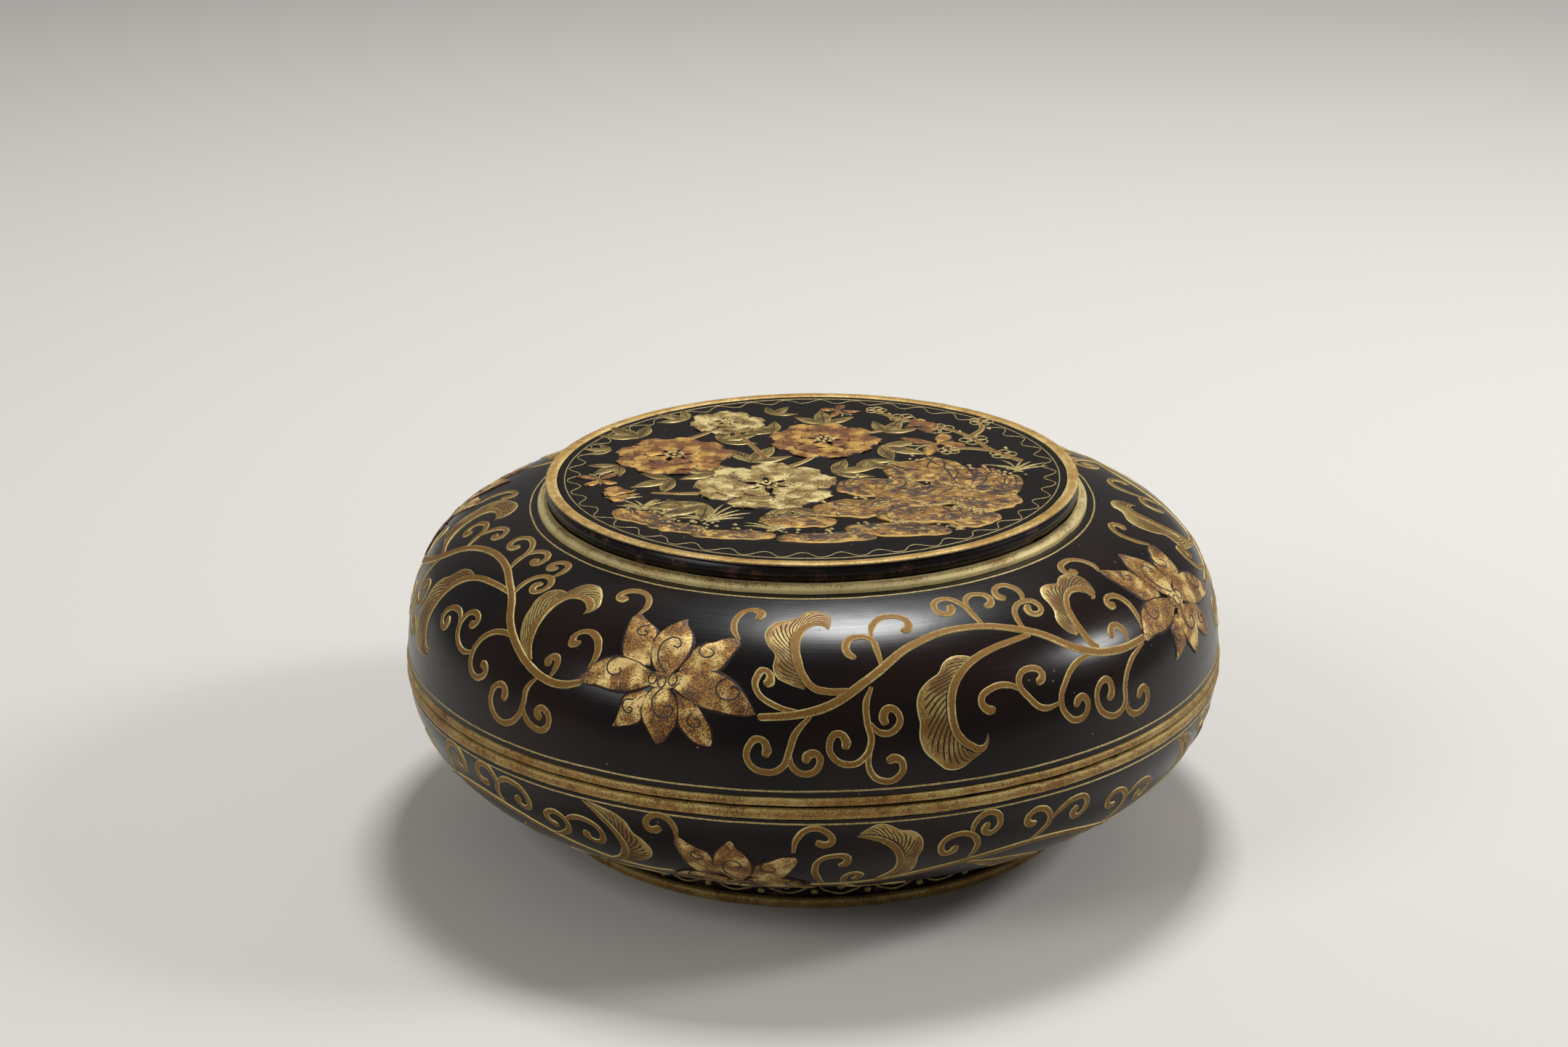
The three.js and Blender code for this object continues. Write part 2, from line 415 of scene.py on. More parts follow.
def turned(name, node, outline, finish, steps=240):
    """A piece spun from an outline of (radius, height) points; it takes a frame piece's place."""
    bpy.ops.object.select_all(action="DESELECT")
    bpy.ops.mesh.primitive_circle_add(vertices=len(outline), radius=1)
    piece = bpy.context.object
    piece.name = name
    for vertex, (radius, height) in zip(piece.data.vertices, outline):
        vertex.co = Vector((radius, 0, height)) * mm
    bpy.ops.object.mode_set(mode="EDIT")
    bpy.ops.mesh.select_all(action="SELECT")
    bpy.ops.mesh.spin(steps=steps, angle=math.tau, center=(0, 0, 0), axis=(0, 0, 1))
    bpy.ops.object.mode_set(mode="OBJECT")
    tidy(piece)
    piece.data.materials.append(finish)
    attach(piece, body_of[node])
    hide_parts(node)
    print(name, len(piece.data.vertices), "points")
    return piece


def high(node):
    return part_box(node)[1].z / mm


def low(node):
    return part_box(node)[0].z / mm


def wide(node):
    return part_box(node)[1].x / mm


bowl_nodes = ("foot_ring", "foot_hoop", "base_board", "bowl_wall", "body_mouth_hoop",
              "lid_locating_lip")
lid_nodes = ("lid_shoulder", "lid_mouth_hoop", "collar_ring", "neck_hoop",
             "painted_top_board", "top_rim_hoop")
body_of = {node: "bowl" for node in bowl_nodes} | {node: "lid" for node in lid_nodes}


# %% Lines for the outlines
def curve_points(corners, steps):
    flat = [Vector((r, z, 0)) for r, z in corners]
    points = interpolate_bezier(*flat, steps + 1)
    return [(p.x, p.y) for p in points]


def beside(points, distance):
    """The same line moved sideways, to the left of its direction."""
    moved = []
    for i, (r, z) in enumerate(points):
        before = points[max(i - 1, 0)]
        after = points[min(i + 1, len(points) - 1)]
        run, rise = after[0] - before[0], after[1] - before[1]
        length = math.hypot(run, rise)
        moved.append((r - rise / length * distance, z + run / length * distance))
    return moved


body_radius = 120
wall = 5
joint = 0.3
clear = 0.4  # between an outline's corner and the curve's first point
hoop_seat = body_radius - 1.6
lip_seat = 113.7
lid_bore = 113.85
foot_radius = 77.4
mouth = high("bowl_wall")
lid_mouth = low("lid_shoulder")
shoulder_top = high("lid_shoulder")
bowl_foot = low("bowl_wall")
collar_radius = foot_radius
collar_bottom = low("collar_ring")
bowl_curve = [(body_radius, mouth), (body_radius, mouth - 22.4), (102, bowl_foot + 4.7),
              (80.5, bowl_foot)]
shoulder_curve = [(body_radius, lid_mouth), (body_radius, lid_mouth + 29),
                  (110.1, shoulder_top - 5.7), (80.9, shoulder_top)]
print("mouth", round(mouth, 2), "lid", round(lid_mouth, 2), "shoulder top", round(shoulder_top, 2))

# %% The bowl's wall
bowl_line = curve_points(bowl_curve, 40)
hoop_foot = mouth - 3.6
board_seat = 76.3
board_top = bowl_foot + 5
lip_foot = mouth - 12.3
lip_step = 110.4
bowl_outside = [p for p in bowl_line if p[1] < hoop_foot - clear]
bowl_inside = [p for p in beside(bowl_line, -wall) if board_top + joint < p[1] < lip_foot - clear]
turned("bowl_shell", "bowl_wall", [
    (hoop_seat, mouth), (hoop_seat, hoop_foot), (bowl_outside[0][0], hoop_foot), *bowl_outside,
    (board_seat, bowl_foot), (board_seat, board_top), *bowl_inside[::-1],
    (lip_step, lip_foot), (lip_seat, lip_foot), (lip_seat, mouth)], lacquer)

# %% The lid's shoulder
shoulder_line = curve_points(shoulder_curve, 40)
hoop_top = lid_mouth + 3
lip_room = mouth + 9
ledge_top = collar_bottom - joint
ledge_bottom = ledge_top - 2.6
ledge_radius = collar_radius - 6
shoulder_outside = [p for p in shoulder_line if p[1] > hoop_top + clear]
shoulder_inside = [p for p in beside(shoulder_line, wall)
                   if lip_room + clear < p[1] < ledge_bottom and p[0] > ledge_radius + 1]
turned("shoulder_shell", "lid_shoulder", [
    (hoop_seat, lid_mouth), (hoop_seat, hoop_top), (shoulder_outside[0][0], hoop_top),
    *shoulder_outside, (collar_radius + joint, shoulder_top), (collar_radius + joint, ledge_top),
    (ledge_radius, ledge_top), (ledge_radius, ledge_bottom), *shoulder_inside[::-1],
    (lid_bore, lip_room), (lid_bore, lid_mouth)], lacquer)

# %% The foot, the base and the lip
foot_top = high("foot_ring")
foot_bore = 71.4
turned("foot", "foot_ring", [
    (foot_bore + 0.8, 0), (foot_radius - 0.2, 0), (foot_radius, 0.2), (foot_radius, foot_top),
    (foot_bore, foot_top), (foot_bore, 0.8)], worn_lacquer)
base_radius = wide("base_board")
base_top = high("base_board")
turned("base", "base_board", [
    (0, bowl_foot), (base_radius, bowl_foot), (base_radius, base_top), (0, base_top)],
    inside)
lip_radius = wide("lid_locating_lip")
lip_top = high("lid_locating_lip")
lip_bottom = low("lid_locating_lip")
turned("locating_lip", "lid_locating_lip", [
    (lip_radius - 3, lip_bottom), (lip_radius, lip_bottom), (lip_radius, lip_top - 1),
    (lip_radius - 0.3, lip_top - 0.3), (lip_radius - 1, lip_top), (lip_radius - 2.7, lip_top),
    (lip_radius - 3, lip_top - 0.3)], inside)

# %% The collar and the board
board_radius = wide("painted_top_board")
board_face = high("painted_top_board")
board_ledge = low("painted_top_board") - joint
collar_top = high("collar_ring")
neck_top = high("neck_hoop")
swell_foot = neck_top + joint
swollen = [(collar_radius + 0.6 * math.sin(math.pi * i / 10),
            swell_foot + (collar_top - swell_foot) * i / 10) for i in range(11)]
turned("collar", "collar_ring", [
    (ledge_radius, collar_bottom), (collar_radius, collar_bottom), *swollen,
    (board_radius + joint, collar_top), (board_radius + joint, board_ledge),
    (ledge_radius, board_ledge)], worn_lacquer)
board_rings = [(board_radius * i / 12, board_face) for i in range(11, -1, -1)]
turned("top_board", "painted_top_board", [
    (0, board_ledge + joint), (board_radius, board_ledge + joint), (board_radius, board_face),
    *board_rings], board_black)


# %% The gilt hoops
def bent(name, node, outline, finish, amount, size=8 * mm):
    """A gilt hoop. Its points lie a little in and out and up and down, as hand work does."""
    piece = turned(name, node, outline, finish, 480)
    for vertex in piece.data.vertices:
        shift = noise.noise_vector(vertex.co / size)
        out = Vector((vertex.co.x, vertex.co.y, 0)).normalized()
        vertex.co += out * shift.x * amount + Vector((0, 0, shift.z * amount))
    return piece


def hoop(name, node, inner):
    """A bent hoop: flat against its seat and rounded outside."""
    bottom = low(node)
    width = wide(node) - inner
    height = high(node) - bottom
    outline = [(inner, bottom)]
    for i in range(13):
        turn = math.pi * (i / 12 - 0.5)
        reach = width * (0.45 + 0.55 * max(math.cos(turn), 0) ** 0.6)
        outline.append((inner + reach, bottom + height * (1 + math.sin(turn)) / 2))
    outline.append((inner, bottom + height))
    finish = hoop_finish(name + "_gold", False, bottom + height / 2, height / 2)
    return bent(name, node, outline, finish, 0.14 * mm, 9 * mm)


def nibbled(piece, height, depth):
    """Small chips and dents along the top edge, from lifting the lid on and off."""
    for vertex in piece.data.vertices:
        near_top = 1 - min(abs(vertex.co.z / mm - height) / 1.2, 1)
        bite = noise.noise(vertex.co / (2.6 * mm)) + 0.6 * noise.noise(vertex.co / (31 * mm)) - 0.25
        vertex.co.z -= min(max(bite, 0) * 2.2, 1) * near_top * depth * mm


bead_inner = 77.7
mouth_bead_inner = 118.7
hoop("foot_bead", "foot_hoop", bead_inner)
bowl_bead = hoop("bowl_mouth_bead", "body_mouth_hoop", mouth_bead_inner)
nibbled(bowl_bead, high("body_mouth_hoop"), 0.6)
hoop("lid_mouth_bead", "lid_mouth_hoop", mouth_bead_inner)

neck_low = low("neck_hoop") - 0.2
neck_width = wide("neck_hoop") - bead_inner
neck_rise = neck_top - neck_low
neck_outline = [(bead_inner, neck_low), (bead_inner + neck_width, neck_low)]
for i in range(11):
    turn = math.pi / 2 * i / 10
    neck_outline.append((bead_inner + neck_width * (0.25 + 0.75 * math.cos(turn)),
                         neck_low + neck_rise * (0.3 + 0.7 * math.sin(turn))))
neck_outline.append((bead_inner, neck_top))
neck_finish = hoop_finish("neck_bead_gold", True, bead_inner + neck_width / 2, neck_width / 2,
                          ("6b4a20", "987838", "d2c088"), 1.75)
bent("neck_bead", "neck_hoop", neck_outline, neck_finish, 0.1 * mm)

rim_outer = wide("top_rim_hoop")
rim_inner = board_radius + joint
rim_low = low("top_rim_hoop")
rim_top = high("top_rim_hoop")
rim_finish = hoop_finish("top_rim_gold", True, (rim_outer + rim_inner) / 2,
                         (rim_outer - rim_inner) / 2, ("8f6a2a", "a8823a", "d4bd80"), 2,
                         rim_top - 0.5, 0.9)
bent("top_rim", "top_rim_hoop", [
    (rim_inner, rim_low), (rim_outer - 0.3, rim_low), (rim_outer, rim_low + 0.25),
    (rim_outer, rim_top - 0.55), (rim_outer - 0.15, rim_top - 0.22),
    (rim_outer - 0.5, rim_top - 0.04), (rim_outer - 1, rim_top), (rim_inner + 1.4, rim_top),
    (rim_inner + 0.6, rim_top - 0.1), (rim_inner, rim_top - 0.3)], rim_finish, 0.08 * mm)

# %% [markdown]
# ## Brush strokes
#
# The gold scroll was drawn with a loaded brush, so it stands a little proud of the lacquer.
# Each stroke here is a curve: its bevel profile is the brush, and the radius at each point is
# how hard the brush is pressed. The drawing is made flat, in millimetres, as on paper, turned
# into a mesh, and then laid round the shell. This keeps every stroke at its real width on a
# domed surface, which a picture projected from one side would not.

# %% Brushes
def brush(name, rise, resolution=3):
    """A profile one millimetre to each side of the stroke and rise millimetres high."""
    bpy.ops.object.select_all(action="DESELECT")
    bpy.ops.curve.primitive_bezier_circle_add(radius=1)
    profile = bpy.context.object
    profile.name = name
    profile.data.dimensions = "2D"
    profile.data.resolution_u = resolution
    for point in profile.data.splines[0].bezier_points:
        for spot in (point.handle_left, point.handle_right):
            if abs(point.co.x) < 0.5:
                spot.x *= 1.5
        for spot in (point.co, point.handle_left, point.handle_right):
            spot.y *= rise if spot.y > 0 else 0.3 * rise
    return profile


scroll_brush = brush("scroll_brush", 0.26)
fine_brush = brush("fine_brush", 0.5, 2)
bead_brush = brush("bead_brush", 0.75)


# %% A shell's surface as a map
class Skin:
    """Where a drawing lies: x goes round the box, y up the outside, z out of the surface."""

    def __init__(self, outline, upward):
        self.outline = outline
        self.sign = 1 if upward else -1
        self.lengths = [0]
        for a, b in zip(outline, outline[1:]):
            self.lengths.append(self.lengths[-1] + math.dist(a, b))

    def spot(self, length):
        """Radius, height and outward direction of the outside, a length away from the mouth."""
        i = 1
        while i < len(self.lengths) - 1 and self.lengths[i] < length:
            i += 1
        part = (length - self.lengths[i - 1]) / (self.lengths[i] - self.lengths[i - 1])
        (r0, z0), (r1, z1) = self.outline[i - 1], self.outline[i]
        run, rise = r1 - r0, z1 - z0
        size = math.hypot(run, rise)
        out = (self.sign * rise / size, -self.sign * run / size)
        return r0 + run * part, z0 + rise * part, out

    def flat(self, degrees, length, middle):
        """A spot given by angle and length, in a flat drawing whose middle is at an angle."""
        radius = self.spot(length)[0]
        return math.radians(degrees - middle) * radius, self.sign * length

    def lay(self, piece, middle):
        """Wraps a flat drawing round the shell, its middle at that angle from the front."""
        for vertex in piece.data.vertices:
            x, y, z = vertex.co
            radius, height, out = self.spot(self.sign * y)
            angle = math.radians(middle) + x / radius
            radius += out[0] * z
            height += out[1] * z
            vertex.co = Vector((radius * math.sin(angle), -radius * math.cos(angle), height)) * mm


lid_skin = Skin(curve_points(shoulder_curve, 80), upward=True)
bowl_skin = Skin(curve_points(bowl_curve, 80), upward=False)
foot_skin = Skin([(foot_radius, 0), (foot_radius, foot_top)], upward=True)
print("shoulder", round(lid_skin.lengths[-1], 1), "mm, bowl", round(bowl_skin.lengths[-1], 1))


# %% Turn strokes into a mesh
def unsteady(piece, amount, size):
    """Makes a drawn edge a little ragged; the drawing is still flat and in millimetres."""
    for vertex in piece.data.vertices:
        shift = noise.noise_vector(vertex.co / size)
        vertex.co.x += shift.x * amount
        vertex.co.y += shift.y * amount


def strokes(name, profile, lines, finish, smooth=6):
    """A mesh of brush strokes. Each stroke is a list of (x, y, half width, lift) points."""
    bpy.ops.object.select_all(action="DESELECT")
    bpy.ops.curve.primitive_bezier_curve_add()
    piece = bpy.context.object
    piece.name = name
    drawing = piece.data
    drawing.splines.clear()
    for line in lines:
        spline = drawing.splines.new("BEZIER")
        spline.bezier_points.add(len(line) - 1)
        for point, (x, y, half_width, lift) in zip(spline.bezier_points, line):
            point.co = (x, y, lift)
            point.handle_left_type = point.handle_right_type = "AUTO"
            point.radius = half_width
    drawing.twist_mode = "Z_UP"
    drawing.resolution_u = smooth
    drawing.bevel_mode = "OBJECT"
    drawing.bevel_object = profile
    drawing.use_fill_caps = True
    bpy.ops.object.convert(target="MESH")
    unsteady(piece, 0.07, 1.1)
    tidy(piece, 50, 0.002)
    piece.data.materials.append(finish)
    return piece


def select(pieces):
    """Selects these pieces alone, and makes the first of them active."""
    bpy.ops.object.select_all(action="DESELECT")
    for piece in pieces:
        piece.select_set(True)
    bpy.context.view_layer.objects.active = pieces[0]


def fitted(piece, body, slot="gold_lacquer"):
    """Puts a drawn piece on its body. The slot is not used."""
    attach(piece, body)
    print(piece.name, len(piece.data.polygons), "faces")


def joined(name, pieces, body, *slot):
    select(pieces)
    bpy.ops.object.join()
    pieces[0].name = name
    fitted(pieces[0], body, *slot)


# %% [markdown]
# ## Shapes between two edges
#
# Petals and leaf blades are not strokes. Each lies between two edges that both run from its
# base to its tip. Joining the edges gives the shape, a little raised in the middle, and it
# also gives every point two numbers, along and across, which the veins are drawn by.

# %% Build shapes between two edges
def smooth_line(points, count):
    """Evenly spaced spots along a smooth line through a few points."""
    spots = [Vector(point[:2]) for point in points]
    ends = [spots[0] * 2 - spots[1], *spots, spots[-1] * 2 - spots[-2]]
    fine = [spots[0]]
    for before, a, b, after in zip(ends, ends[1:], ends[2:], ends[3:]):
        fine += interpolate_bezier(a, a + (b - before) / 6, b - (after - a) / 6, b, 9)[1:]
    lengths = [0]
    for a, b in zip(fine, fine[1:]):
        lengths.append(lengths[-1] + (b - a).length)
    line = []
    i = 0
    for step in range(count):
        length = lengths[-1] * step / (count - 1)
        while i < len(lengths) - 2 and lengths[i + 1] < length:
            i += 1
        line.append(fine[i].lerp(fine[i + 1], (length - lengths[i]) / (lengths[i + 1] - lengths[i])))
    return line


def shapes(name, edges, finish, rise=0.4, columns=10, rows=26):
    """A mesh of low shapes. Each is a first edge, a second edge and the shape's own lift."""
    shares = [0.5 - 0.5 * math.cos(math.pi * i / columns) for i in range(columns + 1)]
    ring = columns + 3
    points, faces, places = [], [], []
    for first, second, lift in edges:
        start = len(points)
        for row, (a, b) in enumerate(zip(smooth_line(first, rows), smooth_line(second, rows))):
            along = row / (rows - 1)
            full = rise * (1 - abs(2 * along - 1) ** 10)
            for share in shares:
                x, y = a.lerp(b, share)
                points.append((x, y, lift + full * (1 - abs(2 * share - 1) ** 5)))
            points += [(b.x, b.y, -0.15), (a.x, a.y, -0.15)]
            places += [(along, share) for share in (*shares, 1, 0)]
        for row in range(rows - 1):
            corner = start + row * ring
            for k in range(ring):
                after = (k + 1) % ring
                faces.append((corner + k, corner + after, corner + after + ring, corner + k + ring))
        faces.append(tuple(range(start, start + ring)))
        faces.append(tuple(range(start + (rows - 1) * ring, start + rows * ring)))
    mesh = bpy.data.meshes.new(name)
    mesh.from_pydata(points, [], faces)
    layer = mesh.uv_layers.new(name="UVMap")
    for loop in mesh.loops:
        layer.data[loop.index].uv = places[loop.vertex_index]
    piece = bpy.data.objects.new(name, mesh)
    bpy.context.collection.objects.link(piece)
    select([piece])
    unsteady(piece, 0.1, 1.6)
    tidy(piece, 50, 0.002)
    mesh.materials.append(finish)
    return piece

# %% [markdown]
# ## The lotus scroll
#
# The scroll is a traditional one: a waving stem that runs from flower to flower, with curls in
# pairs and feathery leaves. One length of it is drawn between two flowers. Places are written
# as on the turned shell: degrees round from the front, and millimetres from the mouth. A third
# number, where there is one, is half the width of the stroke. A blade has two edges, of which
# the first runs along its rib.

# %% One length of the lid's scroll
lid_stem = [(-6.8, 24.5), (1, 26.8), (8, 35), (15, 44), (23.5, 47.5), (33, 42.6), (41, 31.8), (47, 28.6),
            (53.8, 28.6)]
lid_ribs = [
    [(4.8, 31.4, 0.9), (2, 31.5, 1), (0, 32.7, 1.1), (-1.4, 36, 1.2), (-2.3, 41, 1.3), (-2.7, 46, 1.3),
     (-2.2, 50, 1.2), (-1, 52.9, 0.9), (0.8, 54, 0.7), (2, 53, 0.6), (2.5, 51.4, 0.1)],
    [(33.5, 40.8, 0.8), (30, 40.1, 0.95), (26, 38.8, 1), (22.8, 36.5, 1.05), (20.5, 33.4, 1.15),
     (19, 29.5, 1.2), (18.4, 25, 1.2), (18.4, 20.5, 1.2), (19, 17, 1.15), (20.5, 14, 1), (22, 12.7, 1),
     (22.7, 13.8, 0.5), (23.1, 16.4, 0.1)],
    [(43.6, 31.2, 0.9), (42.7, 33.2, 1), (42.3, 36.5, 1.1), (42.3, 40, 1.15), (42.7, 43.6, 1.15),
     (43.9, 47.2, 1.1), (45.6, 49.6, 1.1), (47.5, 50.3, 1.1), (49.1, 49.2, 1.2), (49.8, 47.2, 1.2),
     (49.5, 45.6, 0.9), (48.8, 45, 0.2)],
]
lid_blades = [
    ([(-0.8, 33.6), (-1.7, 36), (-2.5, 38.5), (-3.1, 42), (-3.4, 45.5), (-3.2, 48.6), (-2.4, 51.5),
      (-1, 53.6), (0.8, 54.5), (2, 53.5), (2.4, 52)], [(-1.2, 32.1), (-3.3, 33.5), (-5, 35.3),
      (-5.7, 38.2), (-5.5, 42.4), (-6.6, 45), (-7.4, 48), (-7.4, 51), (-6.3, 54.2), (-4.3, 55.4),
      (-2.5, 56.5), (-1.5, 58.9), (0.4, 59.5), (2.3, 58.2), (3.1, 55.3), (2.7, 51.8)]),
    ([(22.6, 37.2), (20.8, 34.8), (19.2, 32), (18.2, 28.8), (17.8, 25), (17.8, 21), (18.3, 17.8),
      (19.2, 15), (20.3, 12.6), (21.8, 11.6)], [(22.9, 37.8), (21.4, 38.8), (19.6, 38.4), (18.3, 36.8),
      (17.5, 34.5), (15.5, 32.3), (14.3, 30), (13.7, 27), (13.7, 24), (13.9, 21.8), (13.7, 19),
      (13.8, 16.5), (14.4, 13.5), (15.6, 11), (17, 8.4), (18.3, 7.9), (19.6, 8.6), (20.8, 10.2),
      (21.9, 11.4)]),
    ([(41.5, 36.8), (41.7, 40), (42, 43), (42.9, 46.2), (44.2, 49), (45.6, 50.6), (47.4, 51.2),
      (49, 50.6), (50.2, 49.2), (50.5, 47.5), (50.5, 46.4)], [(41.2, 36.5), (40, 38), (39.4, 41),
      (39.6, 43.4), (40.5, 46), (40.8, 49), (41, 52), (42.2, 54.8), (44, 55.6), (45.5, 54.9),
      (46.3, 54.6), (47.5, 56), (49.5, 56.6), (51.3, 55), (52, 52), (51.6, 49.3), (50.9, 47),
      (50.6, 46)]),
]
lid_curls = [
    [(9.7, 37.5), (9.4, 43), (8.8, 47.2), (6.8, 48.3), (5, 46), (5.2, 42.3)],
    [(8.9, 46.5), (9.6, 52.3), (12.5, 55.7), (15.3, 53.5), (15, 49.8)],
    [(27.3, 45.5), (26.8, 51), (26.2, 56.5), (23.7, 60.2), (21.2, 57.7), (22.2, 53.6), (23.9, 55.4)],
    [(26.7, 54), (28, 59), (30.3, 59.5), (31.8, 57), (30.9, 54.2)],
    [(33.3, 42.8), (33.3, 46.5), (34.3, 50.3), (36.6, 52.2), (38.7, 50.4), (38.3, 47.2), (36.6, 46.8),
     (36.3, 49)],
    [(36.6, 51.8), (38, 55.5), (37.6, 59), (35.9, 60.7), (34, 59.3), (33.6, 56)],
    [(-1.5, 25.9), (-5.2, 27.8), (-7.6, 31.5), (-7.7, 35.5), (-6.5, 37.2), (-5.9, 34.2)],
    [(49.6, 29), (49.7, 33), (48.6, 35.2), (47.3, 34.1)],
    [(53.6, 29.5), (54.3, 35), (54.3, 40), (52.6, 43.3), (50.9, 42.5), (50.9, 40.6)],
    [(-0.3, 25.2), (-2.4, 20), (-3.1, 15.5), (-3.9, 11.5), (-6, 9.8), (-8.3, 12.5), (-8.2, 17),
     (-6.8, 18.7), (-5.9, 15.8)],
    [(-3.1, 15.5), (-2.6, 11.3), (-0.9, 9.5), (0.7, 11.8), (0.4, 15), (-0.8, 14.4)],
    [(7.9, 32.3), (7, 28), (7, 23), (7.4, 18), (6.5, 13.7), (4.6, 11.9), (2.5, 14), (2.1, 18),
     (3.2, 20.3), (4.2, 18)],
    [(7.2, 23), (8.8, 19.9), (10.8, 21), (11.2, 24.4), (10, 26.3), (9.1, 23.9)],
    [(7.4, 17), (7.1, 10.3), (8.8, 6.9), (11, 8.2), (11.3, 11.7), (10.2, 13)],
    [(42, 30.4), (38.5, 29.2), (35.8, 25), (34.6, 20.8), (35.1, 16.6), (37, 14.3), (38.7, 16.3),
     (38.5, 19.8), (37.3, 19.6)],
    [(34.5, 20.3), (31.6, 20.1), (29.6, 24), (28.7, 27.5), (29.2, 30.2), (30.9, 31.3), (32.5, 29.6),
     (32.3, 27.8)],
    [(29.2, 25.6), (27, 28.2), (24.6, 28.2), (22.7, 25.6), (23.5, 22.6)],
    [(52.5, 27.4), (48.5, 24.3), (46.2, 19), (45.7, 14.5), (44.6, 12.3), (42.3, 12.6), (40.6, 17),
     (41.4, 21.5), (43.2, 22.1), (43.3, 18.2)],
    [(45.8, 15), (46.5, 11.2), (48.6, 9.8), (50.4, 12), (50.2, 15.7), (49, 15.4)],
]
lid_drawing = lid_stem, lid_ribs, lid_blades, lid_curls

# %% The length on the left, which the painter drew a little differently
left_stem = [(-93, 24.8), (-90, 27), (-86, 30.2), (-82.5, 34), (-79.7, 38.4), (-77, 44.2), (-74.2, 47.7),
             (-70.5, 50.2), (-66, 51), (-61.5, 49.8), (-57.5, 46.9), (-53.6, 43.2), (-49.5, 36.2),
             (-46, 31.5), (-42, 27.4), (-38.8, 25.5), (-35.6, 25.4), (-33.2, 27)]
left_ribs = [
    [(-81.3, 37.2, 0.9), (-84, 38.4, 1), (-86.5, 41, 1.1), (-88.6, 45, 1.2), (-90, 49, 1.3),
     (-90, 52.6, 1.2), (-88.6, 55.2, 1), (-86.6, 56, 0.9), (-84.8, 55.6, 0.6), (-83.9, 54.6, 0.1)],
    [(-54.8, 44.2, 0.8), (-58, 44.3, 0.95), (-61, 43.8, 1), (-64.1, 42.7, 1.05), (-66.4, 40.6, 1.15),
     (-68.1, 37.5, 1.2), (-69.2, 33.5, 1.2), (-69.9, 29, 1.2), (-70.2, 24.5, 1.15), (-69.9, 20.5, 1.1),
     (-69, 17.6, 1), (-67.8, 16, 0.9), (-66.9, 16.3, 0.5), (-66.5, 17.6, 0.1)],
    [(-42.4, 29, 0.7), (-43.6, 32.2, 0.9), (-44.4, 36, 1), (-44.9, 40, 1.1), (-45, 44, 1.1),
     (-44.7, 47.5, 1.1), (-44.1, 50, 1.1), (-42.9, 51.7, 1.1), (-41.3, 52.3, 1.1), (-39.8, 51.9, 1.15),
     (-38.6, 50.5, 1.1), (-38, 48.8, 0.9), (-38.4, 46.8, 0.15)],
]
left_blades = [
    ([(-84.6, 38.6), (-87.2, 41.2), (-89.3, 45), (-90.8, 49), (-90.7, 53), (-89, 56), (-86.6, 56.8),
      (-84.6, 56)], [(-85, 37.6), (-88, 37.9), (-90.6, 39.6), (-92.4, 43), (-93.4, 47), (-94.6, 50.5),
      (-94.8, 54.5), (-93, 58), (-90.6, 60.8), (-87.6, 61.6), (-85.2, 60), (-84, 57.6), (-83.8, 55.6)]),
    ([(-66.2, 41.8), (-68, 38.9), (-69.5, 34.8), (-70.3, 30), (-70.8, 25), (-70.5, 20.5), (-69.7, 17),
      (-68.4, 15), (-67, 14.7)], [(-65.9, 42.4), (-68.5, 42.4), (-70.2, 41.2), (-71.1, 39.2), (-71.6, 37),
      (-73, 35), (-74, 32.3), (-74.4, 28.5), (-74.5, 25), (-75.2, 22.2), (-75.4, 19), (-74.7, 15.8),
      (-73.3, 13.4), (-71.4, 12.5), (-69.5, 13), (-68, 13.6), (-67, 14.4)]),
    ([(-43.2, 30.4), (-44.6, 33.6), (-45.3, 37.5), (-45.7, 41.5), (-45.6, 45.5), (-45.1, 49),
      (-44.1, 51.5), (-42.6, 53), (-40.8, 53.3), (-39, 52.5), (-37.9, 50.8), (-37.5, 49), (-38, 47.4)],
      [(-43, 29.6), (-44.6, 31.2), (-46, 33.5), (-47.2, 37), (-48, 40.5), (-48.3, 43), (-48.8, 45.5),
      (-48.8, 48), (-48.3, 50.5), (-47.2, 52), (-45.7, 52.4), (-44.9, 52.3), (-44.8, 54), (-44.1, 56.5),
      (-42.9, 58), (-41.3, 58.4), (-39.8, 57.5), (-38.2, 55), (-37.1, 52), (-36.9, 49.8), (-37.7, 47.6)]),
]
